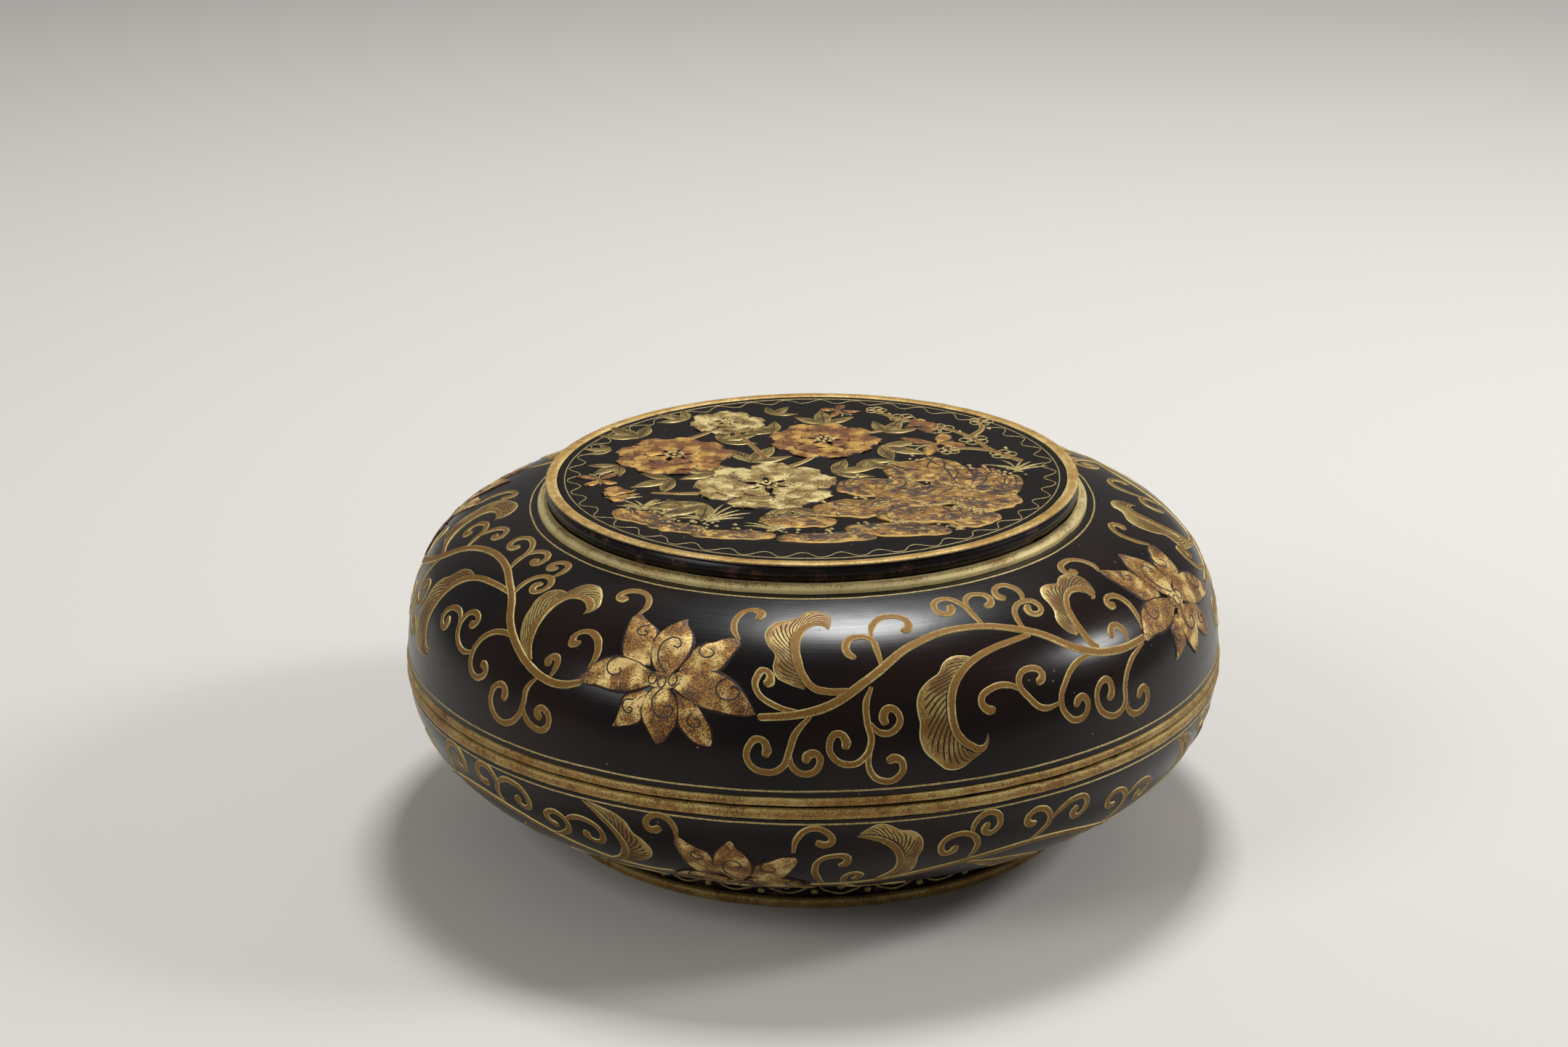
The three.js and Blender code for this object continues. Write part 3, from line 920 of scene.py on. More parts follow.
left_curls = [
    [(-61.2, 50.4), (-62.4, 54), (-63.1, 57.6), (-64.8, 60.2), (-67.2, 61.6), (-69.2, 61.4),
     (-70.5, 59.4), (-70.3, 56.9), (-68.9, 55.4), (-67.5, 56)],
    [(-62.8, 56.8), (-62.4, 59.2), (-61.2, 61.1), (-59.8, 61.6), (-58.3, 60.6), (-57.6, 58.4),
     (-58, 56.4), (-59, 56.6)],
    [(-54, 44), (-54.5, 48), (-54.3, 51), (-53.2, 53.8), (-51.6, 54.6), (-50, 53.2), (-49.5, 50.6),
     (-50.3, 48.2), (-51.5, 48.3), (-51.9, 50)],
    [(-51.3, 54.8), (-50.8, 57.4), (-51, 60), (-52.2, 61.8), (-53.7, 61.6), (-54.8, 59.8), (-54.6, 57.9),
     (-53.8, 57.6)],
    [(-32.3, 31.6), (-31.9, 35), (-32.4, 38.3), (-33.7, 41), (-35.4, 41.7), (-36.8, 40.2), (-37, 38),
     (-36.5, 37)],
    [(-38.1, 26.2), (-37.6, 29.2), (-37.8, 31.5), (-38.7, 32), (-39.2, 30.8)],
    [(-47, 33), (-49.8, 33.3), (-52.2, 31.4), (-53.7, 27.8), (-54.2, 23.8), (-53.7, 20.4), (-52.4, 18.7),
     (-51, 19.2), (-50.2, 21.2), (-50.7, 22.8)],
    [(-54.2, 24.4), (-56.6, 23.3), (-58.6, 24.8), (-59.8, 28.2), (-59.8, 31.4), (-58.8, 33.8),
     (-57.2, 34), (-56.3, 32.4), (-56.8, 31)],
    [(-59.8, 28), (-61.2, 31.4), (-63, 32), (-64.8, 30.6), (-65.5, 28), (-64.7, 25.6), (-63.5, 25.7),
     (-63.3, 27.2)],
    [(-40, 25.6), (-41.5, 21.5), (-41.7, 17), (-42.5, 13), (-44.2, 10.3), (-46, 9.9), (-47.6, 12.2),
     (-48.1, 15.8), (-47.4, 19), (-46, 19.8), (-45.3, 17.8)],
    [(-41.8, 17), (-41, 13.6), (-39.2, 11.5), (-37.6, 12), (-36.9, 14.6), (-37.6, 17.2), (-38.8, 17.3),
     (-39, 15.8)],
    [(-77, 44.2), (-78.6, 47.6), (-80.2, 50.6), (-82.4, 52.1), (-84.4, 51), (-85, 48.4), (-84, 45.9),
     (-82.6, 45.8)],
    [(-79.2, 48.8), (-79.3, 53), (-78.4, 56), (-76.8, 57.3), (-75.2, 56.4), (-74.5, 54.5), (-75.4, 53.3)],
    [(-80.2, 37), (-81, 31), (-80.8, 26.6), (-79.6, 23.4), (-77.6, 22.6), (-76, 24.6), (-75.7, 27.6),
     (-76.6, 29.6), (-78, 28.8)],
    [(-80.9, 28), (-80.4, 20), (-79.4, 15), (-77.4, 13.4), (-76, 15.2), (-76, 17.8), (-77.2, 17.6)],
    [(-80.8, 28), (-81, 22), (-82.5, 17.5), (-84.6, 16.5), (-86.2, 19), (-86, 22.2), (-84.6, 22.2)],
    [(-86.5, 28.6), (-88.4, 23), (-89.1, 18.5), (-89.9, 14.5), (-92, 12.8), (-94.3, 15.5), (-94.2, 20),
     (-92.8, 21.7), (-91.9, 18.8)],
    [(-89.1, 18.5), (-88.6, 14.3), (-86.9, 12.5), (-85.3, 14.8), (-85.6, 18), (-86.8, 17.4)],
    [(-88, 28.6), (-91.2, 30.8), (-93.4, 34.2), (-92.6, 37), (-91.2, 35.6)],
]
lid_left_drawing = left_stem, left_ribs, left_blades, left_curls

# %% The lotus
# It is drawn where the lid's first one lies, with its seeds at -20.8 degrees.
flower_angle = -20.8
flower_curls = [
    [(-29.3, 51.4), (-28.9, 55), (-30.4, 59.4), (-32.8, 60.6), (-35, 58.8), (-35.2, 56.2), (-34.3, 55.7)],
    [(-11.3, 46.8), (-12.6, 51), (-12.6, 56), (-11.3, 58.8), (-9.5, 59), (-8.7, 57)],
]
# Petals at the back first, then those in front.
back_petals = [
    ([(-27.5, 35.5), (-28.6, 38.5), (-29.3, 42), (-29.8, 46), (-30, 49.5), (-29.5, 51.7)], [(-23, 35.5),
      (-23, 40), (-23.6, 44), (-24.4, 47.2), (-26.6, 49.5), (-28.8, 51.9)]),
    ([(-19.2, 35.5), (-18.3, 39.5), (-17.8, 42.6), (-16.5, 44.7), (-15, 45.5), (-14, 46.7), (-12.6, 47.3),
      (-11.4, 47.1)], [(-15.5, 34), (-13, 36), (-12.2, 38), (-11.7, 40.5), (-11.1, 43), (-10.7, 45),
      (-11, 46.6)]),
    ([(-23.6, 28.5), (-25.9, 26.5), (-26.3, 23.5), (-26.5, 20.5), (-27, 17.8)], [(-22, 28.5), (-22.6, 24),
      (-22.7, 21), (-23.3, 19.3), (-25, 18.3), (-26.7, 17.6)]),
    ([(-18.8, 29), (-18.2, 24), (-17.8, 20.6), (-16.8, 18.4), (-15.6, 16.5), (-14.2, 15.8),
      (-13.5, 15.9)], [(-16, 28.5), (-14.6, 25.2), (-13.6, 22.5), (-13, 20), (-12.9, 17.5),
      (-13.2, 16.2)]),
]
front_petals = [
    ([(-21.4, 32.6), (-23.4, 34.6), (-24.8, 36), (-26.6, 37), (-28.5, 36.9), (-30.4, 35.6), (-31.8, 33),
      (-32.5, 30.6), (-33.4, 28.2)], [(-21.4, 31), (-23, 29.2), (-24.4, 27.6), (-26, 26.7), (-28, 26.5),
      (-30, 27), (-31.5, 27), (-32.5, 27), (-33.4, 27.7)]),
    ([(-20.4, 33), (-19.2, 34.6), (-17.8, 36.3), (-15.8, 37), (-13.5, 36.5), (-11.4, 34.8), (-9.8, 32.3),
      (-8.8, 29.8), (-8, 27), (-7.6, 25.6)], [(-20.4, 31), (-19, 29.6), (-17.6, 28), (-15.9, 26),
      (-13.8, 24.9), (-11.5, 24.4), (-9.6, 24.3), (-8.3, 24.6), (-7.6, 25.1)]),
    ([(-20.9, 32.4), (-22.4, 34.4), (-23.9, 38), (-24.6, 42), (-24.3, 45.5), (-23.4, 48.4), (-22, 50.9),
      (-21.2, 52.4)], [(-20.6, 32.4), (-19.2, 34.8), (-18, 38.5), (-17.6, 42), (-17.8, 45), (-18.8, 48.2),
      (-19.8, 50), (-20.5, 52.4)]),
    ([(-21.3, 31), (-22.6, 28.2), (-23.3, 25.5), (-23.4, 23), (-22.8, 20.5), (-22, 18.5), (-21.2, 16.4),
      (-20.6, 14.9)], [(-20.2, 31), (-18.5, 28.4), (-17.7, 25.8), (-17.5, 23), (-17.8, 20.3), (-18.7, 18),
      (-19.3, 16), (-20.2, 15)]),
]
front_spirals = [
    [(-28.6, 36.4), (-29.5, 33.6), (-29, 31.6), (-28, 31.2), (-27.2, 32.2), (-27.5, 33.3)],
    [(-20.6, 34.2), (-22.2, 37.4), (-22.7, 41), (-22, 44.2), (-20.8, 45), (-19.8, 43.6), (-19.9, 42),
     (-20.8, 42.2)],
    [(-11.8, 34.5), (-13, 32.5), (-12.9, 30), (-11.7, 28.6), (-10.2, 29.2), (-9.8, 31), (-10.6, 32.2),
     (-11.2, 31.4)],
    [(-20.7, 29.6), (-21.6, 26.6), (-21, 23), (-19.8, 22.2), (-18.7, 23.4), (-18.9, 25.4), (-20, 25)],
]
back_spirals = [
    [(-26.2, 48), (-27.4, 46.4), (-27.2, 44.6), (-26.2, 44.2), (-25.7, 45.4), (-26.4, 46)],
    [(-16, 45), (-16.7, 42.6), (-16.3, 40.6), (-15.2, 40), (-14.4, 41.4), (-15, 42.8)],
    [(-24.4, 25.7), (-25.7, 24.9), (-25.6, 22.8), (-24.8, 22), (-24.3, 23), (-24.9, 23.7)],
    [(-16, 24.2), (-16.5, 22.2), (-15.6, 20.6), (-14.8, 21.3), (-14.9, 22.6), (-15.6, 22.6)],
]
flower_heart = (
    [(-23.6, 31.9), (-22.6, 33.8), (-20.8, 34.5), (-19, 33.8), (-18, 31.9)], [(-23.6, 31.9),
     (-22.6, 29.9), (-20.8, 29.2), (-19, 29.9), (-18, 31.9)])
seeds = [(-22.2, 32), (-19.3, 32.4), (-20.8, 31.5)]

# %% One length of the bowl's scroll
# Lengths run down from the mouth. The second drawing differs a little, as the handwork does.
bowl_stem = [(-1.5, 34.5), (4, 34), (9, 31.8), (14, 28.3), (20, 25), (26, 22.4), (32, 21.3), (38, 22.8),
             (44, 26.3), (50, 30.5), (57, 33), (63, 33), (69, 31)]
bowl_ribs = [
    [(8.8, 32, 0.8), (9.7, 28.6, 1), (10.9, 25.8, 1.1), (11.6, 22.5, 1.1), (11.6, 19, 1.1), (11.2, 16, 1),
     (10.3, 13, 1), (9, 10.8, 0.9), (7.4, 9.5, 0.7), (5.6, 8.9, 0.2)],
    [(57.5, 31.5, 0.8), (60.5, 28.8, 1), (62.7, 24, 1.1), (63.5, 18.5, 1.1), (62.8, 13.5, 1),
     (61, 9, 0.9), (58.5, 5.2, 0.2)],
    [(22, 26, 0.8), (26, 28.3, 1), (31, 30.8, 1.1), (35, 34.5, 1.1), (37, 39, 1.1), (36.4, 43.5, 0.9),
     (34.5, 45.5, 0.2)],
]
bowl_blades = [
    ([(9.9, 29), (11.4, 26.5), (12.1, 23), (12.1, 19), (11.7, 15.5), (10.8, 12), (9.3, 9.8), (7.5, 8.6),
      (5.9, 8.3)], [(10.5, 30), (12.3, 28.5), (13.7, 26), (14, 23), (14, 19.5), (14.1, 17.8),
      (14.4, 15.5), (14.3, 12), (13.6, 9.5), (12.6, 8.2), (11.2, 7.7), (10.2, 6.4), (9, 5.2), (7.8, 5.4),
      (6.6, 7), (5.9, 8)]),
    ([(61, 29.2), (63.3, 24.5), (64.1, 18.5), (63.4, 13), (61.6, 8.6), (59, 5.2)], [(61.6, 29.6),
      (64, 27.6), (66, 25), (67.4, 21.5), (67.6, 18), (66.8, 15), (65.5, 12.6), (65, 9.8), (63.6, 7.4),
      (61.6, 6), (59.2, 5)]),
    ([(24, 28.2), (29, 30.7), (33.4, 34.2), (35.6, 38), (35.8, 42), (34.8, 44.6)], [(23.6, 28.6),
      (25.4, 32.5), (27.6, 35.5), (28.4, 39), (29, 43), (31, 46), (33.2, 46.6), (34.6, 45.4)]),
]
bowl_curls = [
    [(1.3, 33.8), (0.5, 28), (0.1, 22), (0.7, 17.8), (2.4, 15.9), (4.3, 16.5), (4.2, 19.2)],
    [(4.3, 33.5), (4.2, 28.5), (5, 25.2), (6.2, 25.5), (6.2, 28)],
    [(21.6, 23.5), (22.2, 19), (22, 15), (20.8, 12.2), (18.8, 11.6), (17.3, 13.2), (17, 16.3),
     (17.8, 18.6), (18.8, 17.8)],
    [(21, 12), (21.3, 8.5), (22.6, 6), (24.2, 6.5), (24.9, 9), (24.5, 12), (23.4, 12.9), (22.8, 11)],
    [(30.8, 20.6), (32.2, 17.5), (33, 14), (32.5, 10.5), (31.1, 8.4), (29.8, 8.8), (29.1, 10.9),
     (29.8, 13.2)],
    [(33, 14), (34.5, 10.5), (36.6, 8.3), (38.6, 9.2), (39.1, 12), (38.5, 14.8), (37.5, 15.4),
     (36.9, 13)],
    [(46.4, 28), (48, 22), (48, 17), (47, 13.5), (45.2, 11.7), (43.9, 12.6), (43.7, 15), (44.8, 17.2)],
    [(48, 17), (49.5, 13.8), (51.5, 13), (53.2, 14.8), (53.4, 18.5), (52, 20.5), (51.2, 18.5)],
    [(3, 34.5), (5.5, 39), (6.5, 44), (10, 47.5), (13.8, 46), (14.2, 42), (12, 40.5)],
    [(6.3, 43), (5, 48), (1.5, 50.5), (-1.6, 49), (-1.3, 45.6)],
    [(43.5, 26), (43, 32), (43.6, 38), (46.5, 43.5), (50.5, 43.5), (51.5, 39.5), (49, 38)],
    [(43.8, 39), (42.5, 44.5), (39.5, 47.8)],
    [(57, 33.5), (58, 39), (61.5, 43), (65.5, 41.5), (65.3, 38), (63.2, 37.6)],
]
bowl_drawing = bowl_stem, bowl_ribs, bowl_blades, bowl_curls
side_stem = [(-1.5, 34), (4, 34), (9, 33), (14, 30), (20, 25), (26, 20.5), (32, 17.4), (38, 16.9),
             (44, 18.9), (50, 22.7), (55, 26.8), (61, 31), (66, 32), (69, 31)]
side_curls = [
    *bowl_curls[:2],
    [(21.5, 24), (22, 19), (21.5, 15), (20, 12.6), (18.2, 12.6), (17.2, 15), (18.2, 17.6)],
    [(29, 19), (29.3, 13.5), (29.4, 10), (30.2, 6.8), (32, 5), (34, 6.2), (34.8, 9), (34, 12),
     (32.8, 11.5), (32.4, 10)],
    [(42.4, 18), (42, 13), (42.5, 9.5), (41.7, 6.6), (40, 5.5), (38.3, 7.6), (38.3, 10.5), (39.5, 11.9)],
    [(42.5, 10), (44, 7.5), (46, 7.1), (48, 8.8), (48.6, 12), (47.7, 14.8), (46.4, 14.2), (46.2, 13)],
    [(51, 22.8), (53.5, 20.5), (54.8, 17), (54.6, 14), (53.4, 12.3), (52, 13), (51.3, 15), (52, 17.3)],
    [(54.7, 14), (56.5, 12), (58.5, 11.9), (60.2, 14), (60.4, 17.8), (59.3, 20.2), (58.2, 19.6),
     (57.7, 18.3)],
    *bowl_curls[8:],
]
bowl_side_drawing = side_stem, bowl_ribs, bowl_blades, side_curls

# %% [markdown]
# ## Laying the scroll
#
# A drawing is put down at an angle, stretched a little to reach the next flower, and made
# slightly unsteady, so that no two lengths are quite the same. The first is left as drawn.

# %% Press the brush
chance = random.Random(7)


def tapered(points, start, middle, end):
    """A stroke with a fine start and a full middle."""
    widths = [start] + [middle] * (len(points) - 2) + [end]
    return [(x, y, width, 0) for (x, y), width in zip(points, widths)]


def stem_stroke(points):
    """A stem has round ends."""
    return rounded(rounded(tapered(points, 1, 1.15, 1))[::-1])[::-1]


def rounded(stroke):
    """Ends a stroke with a round cap."""
    x, y, width, lift = stroke[-1]
    step = (Vector((x, y)) - Vector(stroke[-2][:2])).normalized()
    caps = []
    for share, part in ((0.5, 0.87), (0.8, 0.6), (0.95, 0.3)):
        caps.append((x + step.x * width * share, y + step.y * width * share, width * part, lift))
    return stroke + caps


def curl_stroke(points):
    """A curl leaves its stem finely and hooks into a round knob, where the brush was held still."""
    before, near, last = (Vector(point) for point in points[-3:])
    step = (last - near).normalized()
    side = 1 if (near - before).cross(last - near) > 0 else -1
    hook = step * 0.55 + Vector((-step.y, step.x)) * side * 0.75
    stroke = tapered([*points, tuple(last + hook)], 0.45, 0.92, 1.15)
    for i, width in ((-3, 1.0), (-2, 1.25)):
        x, y, _, lift = stroke[i]
        stroke[i] = (x, y, width, lift)
    return rounded(stroke)


def rib_stroke(points):
    """A rib has its own width at each point."""
    return [(x, y, width, 0) for x, y, width in points]


def fine_stroke(points, width, lift=0):
    """A line of one width, lifted onto what it is drawn on."""
    return [(x, y, width, lift) for x, y in points]


def ring(x, y, wide, deep, width, lift, steps=8):
    """A thin closed line round a spot."""
    angles = [math.tau * i / steps for i in range(steps + 1)]
    return fine_stroke([(x + wide * math.cos(a), y + deep * math.sin(a)) for a in angles], width, lift)


def dab(x, y, lift, *steps):
    """A round dot: a short stroke, whose left half is given as (distance, half width) steps."""
    left = [(x - away, y, width, lift) for away, width in steps]
    right = [(x + away, y, width, lift) for away, width in steps[::-1] if away]
    return left + right


# %% Put a drawing on a shell
def plotter(skin, middle, shift=0, stretch=1, shake=0, grow=1):
    """Turns (degrees, millimetres, ...) into flat places for a drawing on a shell."""
    def put(points, steady=1):
        flat = []
        for degrees, length, *rest in points:
            x, y = skin.flat(middle + (degrees - middle) * stretch, shift + grow * length, middle)
            x += chance.uniform(-shake, shake) * steady
            y += chance.uniform(-shake, shake) * steady
            flat.append((x, y, *rest))
        return flat
    return put


def put_scroll(skin, drawing, middle, turn_by, **plot):
    """One length of scroll, laid turn_by degrees from where it is drawn."""
    put = plotter(skin, middle, **plot)
    stem, ribs, blades, curls = drawing
    lines = [stem_stroke(put(stem))]
    lines += [rib_stroke(put(line, 0.4)) for line in ribs]
    lines += [curl_stroke(put(line)) for line in curls]
    gold = strokes("scroll", scroll_brush, lines, brush_gold)
    edges = [(put(rib_side, 0.4), put(outer, 0.4), 0) for rib_side, outer in blades]
    leaves = shapes("blades", edges, blade_gold, 0.2, 10, 40)
    for piece in (gold, leaves):
        skin.lay(piece, middle + turn_by)
    return gold, leaves


def put_flower(skin, turn_by, curls, **plot):
    """One lotus, laid turn_by degrees from where it is drawn."""
    put = plotter(skin, flower_angle, **plot)
    edges = [(put(a, 0.5), put(b, 0.5), lift)
             for lift, group in ((0, back_petals), (0.15, front_petals), (0.3, [flower_heart]))
             for a, b in group]
    petals = shapes("petals", edges, petal_leaf)
    lines = [fine_stroke(put(line, 0.3), 0.24, lift)
             for lift, group in ((0.55, front_spirals), (0.4, back_spirals)) for line in group]
    for seed in seeds:
        lines.append(ring(*put([seed], 0.3)[0], 1.15, 1.6, 0.2, 0.7))
    spirals = strokes("spirals", fine_brush, lines, dark_line)
    gold = strokes("curls", scroll_brush, [curl_stroke(put(line)) for line in curls], brush_gold)
    for piece in (gold, petals, spirals):
        skin.lay(piece, flower_angle + turn_by)
    return gold, petals, spirals


def collect(body, scrolls, flowers):
    """Joins the copies of each kind of piece, so that the box has few of them."""
    scroll_gold, blades = zip(*scrolls)
    flower_gold, petals, spirals = zip(*flowers)
    joined(body + "_scroll", scroll_gold + flower_gold, body)
    joined(body + "_leaf_blades", blades, body)
    joined(body + "_lotus_petals", petals, body)
    joined(body + "_lotus_lines", spirals, body, "black_lacquer")


# %% Draw round the lid
# Each length: how far round it lies, and how it differs from the drawing.
lid_middle = 22.5
lid_left_middle = -63
scrolls = [put_scroll(lid_skin, lid_drawing, lid_middle, turn_by, **plot) for turn_by, plot in (
    (0, {}), (90, {"shift": 1, "stretch": 1.08, "shake": 0.4}),
    (184, {"stretch": 1.08, "shake": 0.4}))]
scrolls.append(put_scroll(lid_skin, lid_left_drawing, lid_left_middle, 0))
flowers = [put_flower(lid_skin, turn_by, flower_curls, shake=shake)
           for turn_by, shake in ((0, 0), (86, 0.25), (180, 0.4), (-86, 0.4))]
collect("lid", scrolls, flowers)

# %% Draw round the bowl
# The same lotus, smaller and turned over, because the bowl's lengths run down.
bowl_flower_curls = [
    [(-29.4, 51), (-29.4, 55), (-31, 58), (-33.4, 57.2), (-34, 54), (-32.6, 53.2)],
    [(-11.3, 49), (-10.6, 54), (-8.8, 57.2), (-6.6, 56.6), (-5.6, 53.5), (-7, 52.2)],
]
bowl_middle = 33.5
scrolls = [put_scroll(bowl_skin, drawing, bowl_middle, turn_by, shake=shake)
           for drawing, turn_by, shake in ((bowl_drawing, 0, 0), (bowl_side_drawing, -90, 0),
                                           (bowl_drawing, 180, 0.35), (bowl_side_drawing, 90, 0.35))]
flowers = [put_flower(bowl_skin, 10 + 90 * i, bowl_flower_curls, shift=63.5, grow=-1,
                      stretch=0.86, shake=0.3) for i in range(4)]
collect("bowl", scrolls, flowers)


# %% Thin lines round the shells
def ring_stroke(skin, length, width, shake):
    """A line drawn right round, a little wavering."""
    points = [(degrees, length + chance.uniform(-shake, shake)) for degrees in range(-180, 181, 6)]
    points[-1] = (181, points[0][1])
    return fine_stroke([skin.flat(*point, 0) for point in points], width)


for body, skin, lengths in (("lid", lid_skin, (4.6, 65.4)), ("bowl", bowl_skin, (4.7, 57.5))):
    rings = [ring_stroke(skin, length, 0.27, 0.08) for length in lengths]
    piece = strokes(body + "_lines", fine_brush, rings, pale_gold)
    skin.lay(piece, 0)
    fitted(piece, body)

# %% The garland on the foot
swags = 32
swag_turn = 360 / swags
swag = [(0.04, 6.9), (0.16, 5.3), (0.33, 4.2), (0.5, 3.85), (0.67, 4.2), (0.84, 5.3), (0.96, 6.9)]
lines = []
dots = []
for i in range(swags):
    start = i * swag_turn - 180
    points = [foot_skin.flat(start + share * swag_turn, height, 0) for share, height in swag]
    lines.append(tapered([(x, y + chance.uniform(-0.15, 0.15)) for x, y in points], 0.16, 0.27, 0.16))
    for share, height in ((0, 4.35), (0.5, 5.9)):
        x, y = foot_skin.flat(start + share * swag_turn, height, 0)
        x += chance.uniform(-0.3, 0.3)
        y += chance.uniform(-0.2, 0.2)
        dots.append(dab(x, y, 0, (1, 0.25), (0.7, 0.65), (0, 0.85)))
garland = strokes("foot_garland", fine_brush, lines, pale_gold, 4)
beads = strokes("foot_beads", bead_brush, dots, pale_gold, 3)
for piece in (garland, beads):
    foot_skin.lay(piece, 0)
    fitted(piece, "bowl")

# %% [markdown]
# ## The picture on the top board
#
# The top board carries a raised picture in several golds: a garden rock, peonies on their
# branches, and butterflies, all traditional motifs. It is built like the scroll, from shapes
# and strokes, but laid flat: x to the right and y to the back, seen from above. Each motif is
# drawn once by a function, and the small changes come from the size, the turn and the hand's
# unsteadiness.

# %% Finishes of the picture
def rock_finish():
    """Brown-red lacquer under gold that is brushed on in short strokes and rubbed."""
    finish = Finish("rock_gold", specular=0.3)
    along, across = finish.drawn()
    fibre = finish.noise(1, 5, finish.stretched(520, 1500, 900), 0.65)
    mottle = finish.noise(5 * mm, 4)
    cover = (fibre * 0.9 + mottle * 0.6).between(0.66, 0.82)
    base = finish.mix(mottle.between(0.4, 0.6), "341a0c", "6a4018")
    leaf = finish.mix(finish.noise(3 * mm, 4).between(0.45, 0.6), "8f672a", "bd9c54")
    worn = finish.mix(cover, base, leaf)
    edge = (across - 0.5).size().between(0.42, 0.47)
    worn = finish.mix(edge * 0.85, worn, "bb9753")
    slant = along * 7 + across * 3 + mottle * 3
    hatch = (1 - slant.beat().between(0.05, 0.12)) * fibre.between(0.42, 0.5)
    return finish.made(finish.mix(hatch * (1 - edge) * 0.8, worn, "1d0f09"), 0.36 + 0.25 * fibre,
                       fibre + mottle, 0.3 * mm, cover * 0.5)


def leaf_finish():
    """Greenish gold with a dark middle vein and fine side veins."""
    finish = Finish("foliage_gold", metallic=0.3, specular=0.3)
    along, across = finish.drawn()
    off = (across - 0.5).size()
    vein = (1 - (along * 8 - off * 5).beat().between(0.08, 0.2)) * (1 - off.between(0.3, 0.42))
    middle = 1 - off.between(0.025, 0.06)
    patch = finish.noise(4 * mm, 4)
    gold = finish.mix(patch.between(0.4, 0.62), "6b5526", "9c8445")
    gold = finish.mix(off.between(0.42, 0.47), gold, "b5a262")
    return finish.made(finish.mix((vein + middle) * 0.9, gold, "1b120a"),
                       0.32 + 0.2 * finish.noise(0.5 * mm, 4), patch - vein - middle, 0.08 * mm)


rock_gold = rock_finish()
foliage_gold = leaf_finish()
peony_leaf = petal_finish("peony_leaf", "94622a", "c3994c", "4a2212")
pale_peony = petal_finish("pale_peony", "ab9150", "d9c688", "573418")
berry_red = plain_finish("berry_red", "571409", "7d2414", 0, 0.3)


# %% Motifs of the picture
wanted = {"rocks": [], "petals": [], "pale_petals": [], "leaves": []}
lines = {"twigs": [], "gold": [], "dark": [], "berries": []}


def placed(x, y, turn, size, points):
    """Points of a motif, turned, sized and moved to where the motif goes."""
    cos, sin = math.cos(math.radians(turn)) * size, math.sin(math.radians(turn)) * size
    return [(x + a * cos - b * sin, y + a * sin + b * cos) for a, b in points]


# %% Rocks
def boulder(x, y, width, depth, turn, lift):
    """A craggy stone between a lower and an upper edge."""
    sides = []
    for side in (-1, 1):
        points = []
        for i in range(13):
            angle = math.pi * (1 - i / 12)
            reach = 1 + chance.uniform(-0.16, 0.16) * (0 < i < 12)
            points.append((math.cos(angle) * width / 2 * (0.94 + 0.06 * reach),
                           side * math.sin(angle) ** 0.75 * depth / 2 * reach))
        sides.append(placed(x, y, turn, 1, points))
    wanted["rocks"].append((*sides, lift))
    for i in chance.sample(range(2, 11), 5):
        a, b = Vector(sides[1][i]), Vector(sides[0][chance.randint(2, 10)])
        crack = [a.lerp(b, share) for share in (0.06, 0.25, 0.42, chance.uniform(0.5, 0.75))]
        crack = [(p.x + chance.uniform(-0.9, 0.9), p.y + chance.uniform(-0.6, 0.6)) for p in crack]
        lines["dark"].append([(p[0], p[1], width, lift + 0.42)
                              for p, width in zip(crack, (0.12, 0.32, 0.26, 0.08))])


for stone in ((33, 2, 24, 22, 15, 0), (20, -14, 26, 18, -12, 0.1), (45, -8, 20, 26, -18, 0.1),
              (33, -22, 30, 18, 8, 0.3), (14, -32, 28, 15, 4, 0.2), (50, -27, 20, 16, 40, 0.2),
              (32, -38, 28, 15, -6, 0.4), (56, -12, 10, 20, -10, 0), (24, -50, 30, 11, -4, 0.15),
              (-4, -42, 22, 11, -8, 0.1), (46, -42, 16, 10, 32, 0.1), (-22, -53, 24, 8, -6, 0),
              (4, -56, 28, 8, 2, 0.1), (-48, -38, 20, 10, -34, 0), (-38, -47, 18, 8, -24, 0.1)):
    boulder(*stone)

# %% Peonies
def ruffled(x, y, turn, inner, outer, spread):
    """One petal: narrow at the flower's middle, wide and notched at its rim."""
    half = [(inner, 0), (outer * 0.5, spread * 0.62), (outer * 0.76, spread * 0.98),
            (outer * 0.93, spread * 0.85), (outer * 0.94, spread * 0.55), (outer * 1.02, spread * 0.4),
            (outer * 0.97, spread * 0.16), (outer, 0)]
    edges = []
    for side in (-1, 1):
        points = [(radius * math.cos(side * angle), radius * math.sin(side * angle))
                  for radius, angle in half]
        edges.append(placed(x, y, turn, 1 + chance.uniform(-0.05, 0.05), points))
    return edges


def peony(x, y, size, turn, kind="petals"):
    """Rings of petals, each ring on top of the one outside it, round a seed head."""
    rings = ((9, 0.42, 1, 0.44, 0), (8, 0.25, 0.76, 0.48, 0.2), (6, 0.04, 0.5, 0.62, 0.4))
    for number, (count, inner, outer, spread, lift) in enumerate(rings):
        for i in range(count):
            angle = turn + 360 * (i + number * 0.5) / count + chance.uniform(-5, 5)
            wanted[kind].append((*ruffled(x, y, angle, inner * size, outer * size, spread), lift))
    for i in range(9):
        angle = math.radians(turn + 45 * i)
        reach = 0.14 * size * (i > 0)
        a, b = x + reach * math.cos(angle), y + reach * math.sin(angle)
        lines["gold"].append(dab(a, b, 0.65, (0.7, 0.25), (0.25, 0.7)))


def bud(x, y, size, turn):
    """Three petals that are still closed."""
    for angle in (-32, 32, 0):
        wanted["petals"].append((*ruffled(x, y, turn + angle, 0.05 * size, size, 0.4),
                                 0.25 * (angle == 0)))


